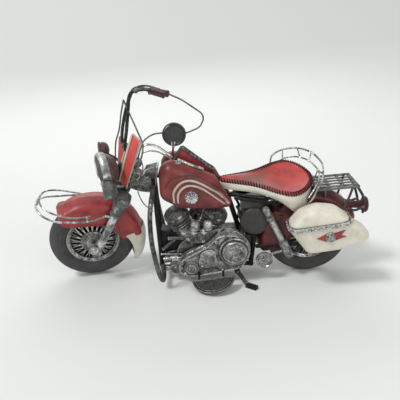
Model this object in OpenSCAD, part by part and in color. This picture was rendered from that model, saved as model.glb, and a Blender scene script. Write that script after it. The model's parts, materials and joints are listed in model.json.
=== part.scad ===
/* [Stance] */
// Sideways lean onto the side stand, degrees
lean = 5.5; // [4:0.5:7]
// Steering angle at rest, turned to the left, degrees
steer = 15; // [5:1:20]
// Extra turn of the handlebar and screen on the stem, degrees
bar_turn = 14; // [0:1:16]
// Rake of the steering axis, degrees
rake = 28; // [26:1:30]

/* [Wheels] */
// Distance between the axles
wheelbase = 211.4; // [208:0.2:215]
// Outer radius of the front tyre
front_r = 41.2; // [40:0.1:42]
// Outer radius of the rear tyre
rear_r = 40.5; // [39:0.1:41]
// Radius of the tyre's round section
tyre_t = 8.9; // [8:0.1:9.5]
// Radius of the bead, where tyre and rim meet
bead_r = 25; // [24:0.5:26]
// Number of spokes in a wheel
spoke_count = 36; // [20:4:40]
// Radius of a spoke
spoke_r = 0.55; // [0.4:0.05:0.7]
// Radius of both axles
axle_r = 1.5; // [1.2:0.1:1.8]

/* [Bodywork] */
// Half width of the front fender
fender_w = 14.5; // [13:0.5:16]
// Width of a saddlebag
bag_w = 25; // [22:1:27]
// Length of a saddlebag body
bag_l = 62; // [56:1:64]
// Half width of the luggage rack
rack_w = 16; // [14:0.5:17]
// Thickness of sheet metal
sheet = 1; // [0.8:0.1:1.2]
// Radius of the thin wires
wire_r = 0.75; // [0.6:0.05:0.9]

/* [Fits] */
// Radial running clearance of every pin in its bore
clear = 0.05; // [0.03:0.01:0.1]

/* [Hidden] */
$fn = 48;

// Places in the upright machine: X = 0 midway between the axles, Y = 0 its middle plane, Z = 0 the floor
rear_axle_at = [wheelbase / 2, 0, rear_r];
head_foot = [-98, 0, 40];
front_axle_x = -105.6;
stand_pivot = [36, -21, 12.2];
// Shift that puts the middle of the footprint on the origin
centre_shift = [-5.36, 2.29];
lift = tyre_t * (1 - cos(lean));

// Height of the front axle at which the turned, leaning tyre just meets the floor
sk = sin(rake);
ck = cos(rake);
vers = 1 - cos(steer);
tyre_ring = front_r - tyre_t;
axle_up = cos(lean) * sin(steer) * sk - sin(lean) * cos(steer);
dx = front_axle_x - head_foot.x;
world_z = tyre_t + tyre_ring * sqrt(1 - axle_up * axle_up) - lift;
fixed_z = cos(lean) * (head_foot.z + vers * ck * sk * dx) + sin(lean) * sin(steer) * ck * dx;
per_z = cos(lean) * (cos(steer) + vers * ck * ck) - sin(lean) * sin(steer) * sk;
front_axle_z = head_foot.z + (world_z - fixed_z) / per_z;
front_axle_at = [front_axle_x, 0, front_axle_z];

// ---------- frames of reference ----------
module on_stand() translate([centre_shift.x, centre_shift.y, lift]) rotate([lean, 0, 0]) children();
module turned(extra = 0) on_stand() translate(head_foot)
  rotate(a = steer + extra, v = [sk, 0, ck]) translate(-head_foot) children();
module along_stem() translate(head_foot) rotate([0, rake, 0]) children();
module both_sides() { children(); mirror([0, 1, 0]) children(); }
module across(at) translate(at) rotate([90, 0, 0]) children();

// ---------- shapes that repeat ----------
module rod(p, q, r) {
  d = q - p;
  translate(p) rotate([0, acos(d.z / norm(d)), atan2(d.y, d.x)]) cylinder(r = r, h = norm(d));
}
module post(at, r, h) across(at) translate([0, 0, -h / 2]) cylinder(r = r, h = h);
function mix3(a, b, c, d, t) = 0.5 * (2 * b + (c - a) * t + (2 * a - 5 * b + 4 * c - d) * t * t
  + (3 * b - a - 3 * c + d) * t * t * t);
function smooth(p, n) = [for (i = [0 : len(p) - 2]) for (k = [0 : n - 1])
  mix3(p[max(i - 1, 0)], p[i], p[i + 1], p[min(i + 2, len(p) - 1)], k / n), p[len(p) - 1]];
function unit(v) = v / norm(v);
function tangent(p, i) = unit(p[min(i + 1, len(p) - 1)] - p[max(i - 1, 0)]);
function ring(p, i, r, s, up) = let (t = tangent(p, i), a = unit(cross(t, up)), b = cross(t, a))
  [for (k = [0 : s - 1]) p[i] + r * (cos(360 * k / s) * a + sin(360 * k / s) * b)];
// Round wire swept along a smooth route; up must never lie along the route
module wire(points, r, up = [0.31, 0.2, 0.93], s = 8, n = 4) {
  p = smooth(points, n);
  m = len(p);
  polyhedron([for (i = [0 : m - 1]) each ring(p, i, r, s, up)],
    [[for (k = [0 : s - 1]) k], [for (k = [s - 1 : -1 : 0]) (m - 1) * s + k],
     for (i = [0 : m - 2]) for (k = [0 : s - 1])
       let (j = (k + 1) % s) each [[i * s + k, (i + 1) * s + k, (i + 1) * s + j],
         [i * s + k, (i + 1) * s + j, i * s + j]]], convexity = 6);
}
// Plate in the side view, pushed out sideways from y0 to y1
module side_plate_shape(y0, y1) translate([0, y1, 0]) rotate([90, 0, 0]) linear_extrude(y1 - y0) children();

// ---------- wheels ----------
module tyre(r) rotate_extrude() difference() {
  translate([r - tyre_t, 0]) circle(r = tyre_t);
  translate([0, -tyre_t]) square([bead_r, 2 * tyre_t]);
}
rim_w = 5.4;
module rim() rotate_extrude() polygon([[bead_r - 2.4, -rim_w + 1], [bead_r, -rim_w], [bead_r, rim_w],
  [bead_r - 2.4, rim_w - 1], [bead_r - 2.4, rim_w - 2], [bead_r - 1.4, 2], [bead_r - 1.4, -2],
  [bead_r - 2.4, 2 - rim_w]]);
hub_r = 6.5;
drum_r = 11.5;
module hub() difference() {
  union() {
    cylinder(r = 3.6, h = 18, center = true);
    translate([0, 0, 3]) cylinder(r = drum_r, h = 4);
    translate([0, 0, 7]) cylinder(r = hub_r, h = 1.5);
    translate([0, 0, -6]) cylinder(r = hub_r, h = 2);
  }
  cylinder(r = axle_r + clear, h = 30, center = true);
}
module spokes() for (i = [0 : spoke_count - 1]) {
  side = i % 2 == 0 ? 1 : -1;
  a = 360 * i / spoke_count;
  rotate(a) rod(side > 0 ? [drum_r - 0.3, 0, 4] : [hub_r - 0.3, 0, -5], [bead_r - 1.9, 0, side * 1.2], spoke_r);
}
module in_front_wheel() turned() across(front_axle_at) children();
module in_rear_wheel() on_stand() across(rear_axle_at) children();
module front_tyre() color("#3a3a3a") in_front_wheel() tyre(front_r);
module front_rim() color("silver") in_front_wheel() rim();
module front_hub() color("silver") in_front_wheel() hub();
module front_spokes() color("gray") in_front_wheel() spokes();
module rear_tyre() color("#3a3a3a") in_rear_wheel() tyre(rear_r);
module rear_rim() color("silver") in_rear_wheel() rim();
module rear_wheel_hub() color("silver") in_rear_wheel() { hub(); spokes(); }
module front_axle() color("silver") turned() post(front_axle_at, axle_r, 47);
module rear_axle() color("silver") on_stand() post(rear_axle_at, axle_r, 40);

// ---------- fork ----------
leg_y = 19.5;
leg_x = -2.5;
stem_r = 3;
head_low = 58;
head_high = 82;
module fork_legs() color("silver") turned() both_sides() {
  along_stem() translate([leg_x, leg_y, -6]) cylinder(r = 3, h = 52);
  difference() {
    along_stem() translate([leg_x, leg_y, -9]) cylinder(r = 3.8, h = 26);
    post(front_axle_at, axle_r, 60);
  }
  difference() {
    translate([0, leg_y, 0]) post(front_axle_at, 4, 6);
    post(front_axle_at, axle_r, 60);
  }
}
module crown_plate(reach) hull() {
  circle(r = 7);
  for (y = [-reach, reach]) translate([leg_x, y]) circle(r = 5.5);
}
module fork_crown() color("silver") turned() along_stem() {
  translate([0, 0, head_low - 10]) cylinder(r = stem_r, h = head_high - head_low + 20);
  translate([0, 0, head_low - 6]) linear_extrude(5.5) crown_plate(leg_y);
  translate([0, 0, head_high + 0.5]) linear_extrude(5.5) crown_plate(9);
  for (y = [-leg_y, leg_y]) translate([leg_x, y, 46]) cylinder(r = 5.2, h = 18);
  translate([-13, -13, head_low - 5]) cube([5.5, 26, 34]);
}

bar_r = 1.7;
bar_side = [[-64.4, -1, 136.4], [-66.5, -4.5, 141], [-64.3, -6.5, 157.3], [-62, -7.5, 175.3], [-60.3, -8, 186.4],
  [-56.6, -8.5, 191], [-47.2, -8.5, 191.2], [-40, -8.5, 189]];
grip_from = [-42.1, -8.5, 189.7];
grip_to = [-26.2, -8.5, 183.6];
bar_far = [[-64.4, 1, 136.4], [-66.3, 4, 141], [-64.3, 6, 152.4], [-60.0, 7, 167.4], [-55.9, 7.5, 177.5], [-51.2, 8, 185.1], [-44.3, 8.5, 185.1], [-37.3, 8.5, 181.7]];
far_grip = [[-37.3, 8.5, 181.5], [-23.1, 8.5, 174.8]];
lever_near = [[-53, -8.5, 191.4], [-50, -12, 193.5], [-41, -13.5, 192], [-31, -13.5, 187.5]];
lever_far = [for (q = lever_near) [q.x, -q.y, q.z] + far_grip[0] - [grip_from.x, -grip_from.y, grip_from.z]];
module handlebar() color("gray") turned(bar_turn) {
  for (line = [bar_side, bar_far]) wire(line, bar_r, up = [0.2, 1, 0.1], s = 10, n = 3);
  post([-64.4, 0, 136.4], 2.6, 8);
  difference() {
    translate([0, 0, 0]) rod([-56.8, 0, 117.6], [-64.4, 0, 136.4], 2.4);
    along_stem() cylinder(r = 20, h = head_high + 6);
  }
  for (line = [lever_near, lever_far]) wire(line, 0.8, up = [0.2, 0.1, 1], s = 8);
}
module grips() color("#6b3a38") turned(bar_turn) {
  rod(grip_from, grip_to, 2.7);
  rod(far_grip[0], far_grip[1], 2.7);
}

cable_route = [[-22.8, -9.8, 181.7], [-12.5, -8, 176.6], [-2.7, -5, 169.3], [5.2, -2, 162.5], [6.8, 0, 157.5],
  [5.6, 1.8, 153.5], [2.8, 3, 149], [-5.5, 3, 145.2], [-11, 3, 143.9], [-31.7, 3, 144.5], [-38.8, 1, 143.9],
  [-44, -2, 141.7], [-47.6, -4, 138.6], [-50, -7, 133], [-52, -9, 127], [-53, -10, 120.5]];
module throttle_cable() color("black") on_stand()
  wire(cable_route, 0.7, up = [0.31, 0.91, 0.25], s = 8, n = 3);

lamp_z = 118;
lamp_y = -1.5;
lamp_x = -87.5;
module headlamp() color("#5e4a44") turned(bar_turn) translate([lamp_x, lamp_y, lamp_z]) rotate([0, 90, 0]) {
  cylinder(r = 16.2, h = 7);
  translate([0, 0, 7]) cylinder(r1 = 16.2, r2 = 9, h = 5);
}
module headlamp_lens() color("silver") turned(bar_turn) translate([lamp_x, lamp_y, lamp_z]) rotate([0, -90, 0]) {
  rotate_extrude() translate([15, 1.8]) circle(r = 2.1);
  cylinder(r = 15, h = 2.6);
}
module passing_lamp(at, r) translate(at) rotate([0, 90, 0]) {
  cylinder(r = r, h = 3);
  translate([0, 0, 3]) intersection() {
    sphere(r = r);
    translate([-r, -r, 0]) cube([2 * r, 2 * r, r]);
  }
}
module passing_lamps() color("#6b504a") turned() {
  passing_lamp([-88, -27, 108], 8.6);
  passing_lamp([-88, 27, 122.5], 7.6);
  rod([-79, -21, 108], [-71, -19.5, 106], 1.4);
  rod([-79, 21, 119], [-69, 19.5, 110], 1.4);
}

// Screen: wire outline with two coral panels that spread upward as a V; the far half was bent lower
screen_near = [[-76, -1.5, 98], [-70, -12, 104], [-62, -21, 124], [-56.5, -24, 147], [-59, -19, 161],
  [-62, -9, 174], [-63, 0, 181]];
screen_far = [[-76, -1.5, 98], [-73.5, 12, 100], [-69, 25, 109.7], [-67, 25, 128], [-65, 15, 147], [-64, 8, 165],
  [-63, 0, 181]];
panel_near = [[-72.8, -2.6, 105], [-71.4, -8.5, 106], [-59.6, -13.5, 153], [-57.4, -22, 149]];
panel_far = [[-72.8, 2.6, 105], [-71.8, 8.5, 104], [-62.5, 13, 147], [-64.5, 21.5, 139.8]];
module screen_frame() color("silver") turned(bar_turn) for (line = [screen_near, screen_far])
  wire(line, 0.7, up = [1, 0.1, 0.2], s = 8, n = 3);
module screen_panels() color("#dd5450") turned(bar_turn) for (corners = [panel_near, panel_far])
  hull() for (q = corners) translate(q) sphere(r = 0.9, $fn = 16);

// Front fender: a crowned U section turned about the axle and cut to its side outline
crown_r = 50.4;
function crown(y) = crown_r - 6 * pow(y / fender_w, 2);
module fender_section(inset) polygon(concat([[20, -fender_w + inset]],
  [for (y = [-1 : 0.25 : 1]) [crown(y * fender_w) - inset, y * (fender_w - inset)]],
  [[20, fender_w - inset]]));
module fender_shell() across(front_axle_at) rotate_extrude() difference() {
  fender_section(0);
  fender_section(sheet);
}
module fender_cut(outline) intersection() {
  fender_shell();
  side_plate_shape(-20, 20) polygon(outline);
}
module front_fender() color("#a8403f") turned() {
  both_sides() rod([-80.5, -13.9, 79.5], [-79.5, -17.6, 79.5], 1.5);
  fender_cut([[-133.5, 72], [-128, 67], [-92, 65],
  [-84, 58], [-77, 46], [-45, 70], [-45, 100], [-133.5, 100]]);
}
module mudflap() color("#d9d0bd") turned() fender_cut([[-77, 46], [-74, 38], [-70, 27], [-66, 19],
  [-60, 21], [-52, 34], [-45, 50], [-45, 70]]);
rail_low = [[-90, 18, 76], [-102, 22, 75], [-116, 25, 78], [-132, 24, 80], [-144, 18, 84], [-150, 8, 87],
  [-151, 0, 88]];
rail_high = [[-104, 20, 79], [-118, 24, 82], [-132, 23, 87], [-142, 17, 91], [-146, 8, 92.5], [-147, 0, 93]];
function both_ways(p) = concat([for (q = p) [q.x, -q.y, q.z]],
  [for (i = [len(p) - 2 : -1 : 0]) p[i]]);
module fender_rails() color("#444444") turned() {
  wire(both_ways(rail_low), 0.9, up = [0.05, 0.1, 1], n = 3);
  wire(both_ways(rail_high), 0.8, up = [0.05, 0.1, 1], n = 3);
  both_sides() rod([-90, -18, 76], [-84, -19.5, 75], 1.2);
}

// ---------- frame ----------
module steering_head() color("#6f736f") on_stand() difference() {
  union() {
    along_stem() translate([0, 0, head_low]) cylinder(r = 6, h = head_high - head_low);
    side_plate_shape(-7, 7) polygon([[-64, 96], [-58, 111], [-36, 116], [-40, 90], [-54, 92]]);
  }
  along_stem() translate([0, 0, 30]) cylinder(r = stem_r + clear, h = 80);
  along_stem() translate([0, 0, head_high]) cylinder(r = 12, h = 20);
  along_stem() translate([0, 0, head_low - 30]) cylinder(r = 26, h = 30);
}
module frame_backbone() color("#222222") on_stand() {
  rod([-37, 0, 106], [28, 0, 84], 3);
  both_sides() rod([28, 0, 84], [62, -13, 84], 2);
  both_sides() rod([62, -13, 84], [100, -13, 88], 1.6);
  rod([28, 0, 84], [44, 0, 30], 2.4);
  both_sides() rod([92, -13, 87], [96, -27, 68], 1.6);
}
module frame_cradle() color("#2b2b2b") on_stand() {
  both_sides() {
    rod([-41, -5.5, 104], [-38, -9, 14], 2.2);
    translate([-38, -9, 14]) sphere(r = 2.8);
    rod([-38, -9, 14], [50, -13, 15], 2.2);
    translate([50, -13, 15]) sphere(r = 2.8);
    rod([50, -13, 15], [54, -13, 60], 2.2);
  }
  post([50, 0, 15], 1.8, 26);
  post([-38, 0, 14], 1.8, 18);
  post([stand_pivot.x, -18, stand_pivot.z], 1.3, 12);
}
module swing_arm() color("#2b2b2b") on_stand() both_sides() {
  rod([54, -13, 34], [101, -17, 38], 2);
  difference() {
    translate([0, -17, 0]) post(rear_axle_at, 4.5, 4);
    post(rear_axle_at, axle_r, 60);
  }
  rod([84, -18, 27], [101, -17, 36], 1.8);
}
module rear_shocks() color("silver") on_stand() both_sides() {
  rod([62, -19.5, 76], [88, -19.5, 24], 2.6);
  rod([72, -19.5, 56], [86, -19.5, 28], 4);
  translate([62, -19.5, 76]) sphere(r = 3);
  translate([0, -15.5, 0]) post([62, 0, 76], 1.6, 10);
  rod([62, -13, 76], [62, -13, 85], 1.6);
}

// ---------- engine ----------
crank = [-3, 0, 27];
v_angle = 27;
module crankcase() color("gray") on_stand() {
  post(crank, 19, 26);
  translate([10, -12, 16]) cube([34, 24, 32]);
  post([30, 0, 34], 13, 24);
}
module cylinder_unit(side) on_stand() translate(crank) rotate([0, side * v_angle, 0]) {
  translate([0, 0, 17.5]) {
    cylinder(r = 8, h = 30);
    for (k = [0 : 4]) translate([0, 0, 2 + 3.2 * k]) cylinder(r = 11, h = 1.4);
  }
  translate([0, 0, 36]) cylinder(r = 12, h = 7);
  translate([0, 0, 43]) cylinder(r1 = 12, r2 = 8, h = 6);
}
module cylinder_front() color("gray") cylinder_unit(-1);
module cylinder_rear() color("gray") cylinder_unit(1);
module chrome_domes() color("white") on_stand() for (x = [-3.5, 8.7]) {
  translate([x, -15.5, 60]) sphere(r = 4.4);
  rod([x, -15.5, 50], [x, -15.5, 60], 3);
}
module side_plate() color("gray") on_stand() side_plate_shape(-18, -13.2)
  polygon([[-19, 56], [-16, 49], [-8, 42], [13, 42], [21, 48], [23, 58], [7, 53.5], [-5, 53.5]]);
cover_line = [[-20, 12], [-21, 22], [-14, 31], [10, 44], [22, 54], [36, 54], [46, 44], [48, 34], [43, 22],
  [34, 15], [0, 9]];
module primary_cover() color("silver") on_stand() {
  side_plate_shape(-27, -14.2) polygon(cover_line);
  translate([0, -28, 0]) post([-8, 0, 20], 7, 4);
  translate([0, -17, 0]) post([-24, 0, 15], 6, 8);
}
module primary_caps() color("silver") on_stand() {
  translate([0, -28.5, 0]) post([33, 0, 37], 14, 3);
  translate([0, -30.5, 0]) post([33, 0, 37], 10.6, 3);
  side_plate_shape(-29, -27) polygon([[0.5, 22], [1, 33], [6, 38], [14, 38], [16, 24], [9, 20]]);
}
screw_at = [[5, 40.5], [17, 46.5], [44.6, 45.6], [44.6, 30], [-16, 26], [29, 52.2]];
module cover_screws() color("silver") on_stand() for (p = screw_at) intersection() {
  translate([p.x, -27, p.y]) sphere(r = 1.8);
  translate([p.x - 3, -31, p.y - 3]) cube([6, 4, 6]);
}
module oil_tank() color("#3a3330") on_stand() {
  post([53, 0, 61], 14, 30);
  translate([38, -12, 31]) cube([12, 24, 14]);
}
module exhaust() color("gray") on_stand() {
  wire([[-22, 14, 62], [-24, 20, 52], [-14, 22, 34], [8, 22, 26], [50, 22, 25], [92, 24, 26]], 2.6,
    up = [0.1, 1, 0.2], s = 10);
  rod([92, 24, 26], [150, 26, 30], 4.5);
}
module air_cleaner() color("silver") on_stand() {
  translate([0, 18, 0]) post([0, 0, 58], 10, 6);
  rod([0, 16, 57], [0, 9, 42], 2.5);
}
guard_side = [[-41, -6.5, 96], [-43, -20, 86], [-44, -32, 70], [-43, -39, 50], [-39, -41, 28], [-36, -38, 15],
  [-35, -28, 11], [-37, -10, 13.6]];
module engine_guards() color("silver") on_stand() both_sides()
  wire(guard_side, 1.8, up = [1, 0.1, 0.1], s = 8, n = 3);

// ---------- tank ----------
module tank_half() hull() {
  translate([-22.5, -13, 111.5]) sphere(r = 12.5, $fn = 28);
  translate([-26, -14.5, 95]) sphere(r = 9, $fn = 24);
  translate([-14, -15.5, 89.5]) sphere(r = 9, $fn = 24);
  translate([8, -12, 100]) sphere(r = 11, $fn = 28);
  translate([16, -13, 85]) sphere(r = 7, $fn = 24);
  translate([27, -9.5, 82]) sphere(r = 4.5, $fn = 20);
}
module tank_side() difference() {
  tank_half();
  translate([-60, -3.6, 60]) cube([120, 60, 80]);
}
module tank_left() color("#8c3434") on_stand() tank_side();
module tank_right() color("#8c3434") on_stand() mirror([0, 1, 0]) tank_side();
module tank_console() color("#777777") on_stand() side_plate_shape(-3.6, 3.6)
  polygon([[-25, 120], [-20, 122], [-14, 131], [-10, 129], [16, 109], [16, 101], [-8, 112], [-25, 112]]);
module fuel_caps() color("white") on_stand() both_sides() translate([-18, -14, 118.5]) {
  cylinder(r = 3.2, h = 2.4);
  cylinder(r = 1.8, h = 3.2);
}
module tank_badges() color("silver") on_stand() both_sides() translate([-7, -23.9, 94]) rotate([97, 0, 0])
  cylinder(r = 5.8, h = 1.2);
module round_mirror() color("#333333") on_stand() {
  post([-19.8, 0, 143.8], 10.8, 2.4);
  rod([-22.3, 0, 120], [-20.6, 0, 136], 0.9);
}
module tank_wires() color("gray") on_stand() {
  wire([[-49, -4, 134], [-44, -4, 136], [-36, -3, 134], [-28, -2, 128], [-22.5, -2, 123]], 1,
    up = [0, 1, 0.1]);
  wire([[-51, 2, 126], [-44, 3, 128], [-36, 3, 127], [-29, 3, 123], [-23.5, 2.5, 119]], 0.8,
    up = [0, 1, 0.1]);
}

// ---------- saddle ----------
seat_roll = 14;
seat_z = 99.5;
module at_seat() on_stand() translate([0, 0, seat_z]) rotate([seat_roll, 0, 0]) children();
seat_half = [[23, 3.6], [38, 9], [50, 11.5], [62, 18], [74, 25], [86, 28], [97, 21.5], [104, 9]];
module seat_cushion() color("#cf4a47") at_seat()
  for (i = [0 : len(seat_half) - 2]) hull() for (p = [seat_half[i], seat_half[i + 1]], side = [-1, 1])
    translate([p.x, side * (p.y - 3.2), 0]) sphere(r = 3.2, $fn = 16);
module seat_skirt() color("#e6dfd0") {
  at_seat() {
    hull() for (p = [[23, 2.5], [60, 11]], side = [-1, 1]) translate([p.x, side * p.y, -7.5])
      cylinder(r = 1.5, h = 6, $fn = 16);
    hull() for (p = [[60, 10], [76, 20], [88, 22.5], [98, 16]], side = [-1, 1])
      translate([p.x, side * p.y, -9]) cylinder(r = 2, h = 8, $fn = 16);
  }
  on_stand() for (side = [-1, 1]) hull() {
    translate([78, side * 20.5, 90 + 4 * side]) sphere(r = 1.2, $fn = 12);
    translate([99, side * 16, 90 + 4 * side]) sphere(r = 1.2, $fn = 12);
    translate([90.8, side * 22.8, 77 + 3 * side]) sphere(r = 1.2, $fn = 12);
  }
}
rail_outer = [[66, -22, 90], [72, -27, 92], [84, -30.5, 89.8], [97, -28.5, 90.5], [106, -22, 93], [112, -16, 95],
  [116, -8, 98], [118, 0, 101], [118.5, 6, 106.5], [117, 13, 110.6], [110, 23, 116], [98, 30.5, 118.2],
  [84, 31, 116.8], [74.5, 30, 112.3], [72, 29.5, 105.5], [72, 27, 97]];
rail_inner = [[76, 29, 98], [78, 30, 102], [84, 30.2, 107.4], [93, 30, 109.5], [101, 28.5, 109.2], [108, 19, 108.4],
  [112, 0, 106], [111, -10, 100.5], [107, -18, 94.7], [100, -24, 91.5]];
module grab_rail() color("silver") on_stand() {
  wire(rail_outer, wire_r, up = [0.31, 0.92, 0.2], n = 3);
  wire(rail_inner, wire_r, up = [0.31, 0.92, 0.2], n = 3);
  rod([106, 0, 88], [112, 0, 106], wire_r);
  rod([112, 0, 106], [118, 0, 101], wire_r);
  for (x = [72, 76]) rod([x, 14, 90], [x, 29, 98], wire_r);
  rod([100, -13, 88], [100, -24, 91.5], wire_r);
  rod([66, -14, 86], [66, -22, 90], wire_r);
  rod([84, 30.2, 107.4], [84, 31, 116.8], wire_r);
  rod([101, 28.5, 109.2], [98, 30.5, 118.2], wire_r);
}

// ---------- rear end ----------
rear_crown = 48;
rear_w = 15;
module rear_section(inset) polygon(concat([[31, -rear_w + inset]],
  [for (y = [-1 : 0.25 : 1]) [rear_crown - 5 * y * y - inset, y * (rear_w - inset)]], [[31, rear_w - inset]]));
module rear_fender() color("#7c2c2e") intersection() {
  in_rear_wheel() rotate_extrude() difference() {
    rear_section(0);
    translate([-0.1, 0]) rear_section(sheet);
  }
  on_stand() side_plate_shape(-20, 20) polygon([[105.7, 40.5], [160, 64], [160, 100], [50, 100], [50, 24]]);
}
rack_from = [109, -rack_w, 91.5];
rack_l = 37.5;
rack_tilt = 4;
module luggage_rack() color("silver") on_stand() {
  translate(rack_from) rotate([0, -rack_tilt, 0]) {
    for (y = [0 : rack_w / 2 : 2 * rack_w]) translate([0, y - 0.9, 0]) cube([rack_l, 1.8, 1.6]);
    for (x = [0, rack_l / 2 - 1, rack_l - 2]) translate([x, 0, 0]) cube([2, 2 * rack_w, 1.6]);
  }
  both_sides() {
    rod([118, 13, 83], [116, 15, 92.5], 1.1);
    rod([138, 13, 76], [141, 15, 94], 1.3);
    wire([[146, 14, 93.5], [152, 13, 84], [155, 10, 74], [156.5, 6, 66]], 1.2, up = [0.1, 1, 0.1]);
  }
  rod([156.5, -6.5, 66], [156.5, 6.5, 66], 1.2);
}
module tail_lamp() color("#6a2d2d") on_stand() translate([148, 0, 70]) rotate([0, 90, 0]) {
  cylinder(r1 = 3, r2 = 4, h = 9);
  translate([0, 0, 9]) cylinder(r1 = 4, r2 = 7.5, h = 3);
  translate([0, 0, 12]) cylinder(r = 7.5, h = 1.5);
}

bag_pitch = 8;
seam_z = 3.2;
emblem_z = -6.8;
bag_at = [80.5, -24.5 - bag_w / 2, 64.3];
module bag_outline(inset) hull() for (x = [8, 45], y = [8 - bag_w / 2, bag_w / 2 - 8])
  translate([x, y]) circle(r = 8 - inset, $fn = 32);
module at_bag() on_stand() translate(bag_at) rotate([0, -bag_pitch, 0]) children();
module bag_body() hull() {
  translate([0, 0, seam_z - 2.8]) linear_extrude(2.4) bag_outline(0);
  for (y = [-6.5, 6.5]) {
    translate([17, y, -17.5]) sphere(r = 6, $fn = 24);
    translate([41, y, -17.5]) sphere(r = 6, $fn = 24);
    translate([bag_l, y * 0.9, -13]) sphere(r = 6.5, $fn = 24);
  }
}
module bag_lid() hull() {
  translate([0, 0, seam_z]) linear_extrude(2.2) bag_outline(0);
  for (y = [-4, 4]) {
    translate([14.5, y, 9.5]) sphere(r = 8, $fn = 24);
    translate([38, y, 9]) sphere(r = 8, $fn = 24);
    translate([26, y, 11.5]) sphere(r = 8.5, $fn = 24);
  }
}
module bag_trim() {
  translate([0, 0, seam_z - 1]) linear_extrude(2.6) difference() {
    bag_outline(-0.9);
    bag_outline(0);
  }
  translate([33, -bag_w / 2 - 0.2, emblem_z]) rotate([90, 0, 0]) cylinder(r = 4, h = 1.2);
  translate([0, -bag_w / 2 - 0.2, emblem_z]) rotate([90, 0, 0]) linear_extrude(0.8)
    polygon([[21, 1], [29, -4.5], [29, 4.5]]);
  translate([0, -bag_w / 2 - 0.2, emblem_z]) rotate([90, 0, 0]) linear_extrude(0.8)
    polygon([[46, 4], [41, 0], [46, -4], [37, -4.5], [37, 4.5]]);
}
module saddlebag_left() color("#efe9dc") at_bag() bag_body();
module saddlebag_lid_left() color("#f2ede0") at_bag() bag_lid();
module other_bag() on_stand() mirror([0, 1, 0]) translate(bag_at) rotate([0, -bag_pitch, 0]) children();
module saddlebag_right() color("#efe9dc") other_bag() bag_body();
module saddlebag_lid_right() color("#f2ede0") other_bag() bag_lid();
module saddlebag_trim() color("silver") {
  at_bag() bag_trim();
  other_bag() bag_trim();
}
module passenger_pegs() color("gray") on_stand() both_sides() {
  translate([0, 23.5, 0]) post([61.7, 0, 25], 8, 3);
  translate([0, 19.5, 0]) post([61.7, 0, 25], 5, 5);
  rod([61.7, 19, 25], [79, 18, 31], 1.2);
}

// ---------- footboards and side stand ----------
board_r = 20.1;
board_drop = 10;
board_pitch = 8.5;
module board_disc(r) intersection() {
  translate([0, -1.9]) circle(r = r);
  translate([-30, -40]) square([60, 40]);
}
module footboard() {
  translate([13, -32, 12]) rotate([board_drop, -board_pitch, 0]) {
    linear_extrude(1.4) board_disc(board_r);
    translate([0, 0, 1.4]) linear_extrude(0.9) difference() {
      board_disc(board_r);
      translate([0, -1]) board_disc(board_r - 2.2);
    }
  }
  rod([-1, -33, 11], [-1, -25, 14], 1);
  rod([22, -33, 14], [22, -25, 17], 1);
}
module footboards() color("#4a4644") on_stand() {
  footboard();
  mirror([0, 1, 0]) footboard();
}
foot_at = [48, -39];
module side_stand() color("#3a3634") difference() {
  union() {
    on_stand() {
      post([stand_pivot.x, stand_pivot.y - 1, stand_pivot.z], 2.8, 4);
      rod(stand_pivot + [0, -1, 0], [44, -34, 5.6], 1.8);
      rod([44, -34, 5.6], [50, -39.5, 6.2], 1.5);
    }
    translate([foot_at.x + centre_shift.x, foot_at.y + centre_shift.y, 0]) rotate([0, 0, -35]) translate([-5, -2.5, 0]) cube([11, 5, 3.4]);
  }
  on_stand() post(stand_pivot, 1.3 + clear, 40);
  translate([0, -80, -20]) cube([100, 100, 20]);
}

steering_head();
frame_backbone();
frame_cradle();
swing_arm();
crankcase();
cylinder_front();
cylinder_rear();
chrome_domes();
side_plate();
primary_cover();
primary_caps();
cover_screws();
tank_left();
tank_right();
tank_console();
fuel_caps();
tank_badges();
round_mirror();
tank_wires();
seat_skirt();
seat_cushion();
grab_rail();
rear_fender();
luggage_rack();
tail_lamp();
saddlebag_left();
saddlebag_lid_left();
saddlebag_right();
saddlebag_lid_right();
saddlebag_trim();
rear_shocks();
oil_tank();
exhaust();
air_cleaner();
engine_guards();
footboards();
passenger_pegs();
rear_axle();
side_stand();
fork_legs();
fork_crown();
handlebar();
grips();
headlamp();
headlamp_lens();
passing_lamps();
screen_frame();
screen_panels();
front_fender();
mudflap();
fender_rails();
throttle_cable();
front_axle();
front_tyre();
front_rim();
front_hub();
front_spokes();
rear_tyre();
rear_rim();
rear_wheel_hub();
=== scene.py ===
import json
import math
import bmesh
import bpy
from mathutils import Matrix, Vector
from mathutils.bvhtree import BVHTree

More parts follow.
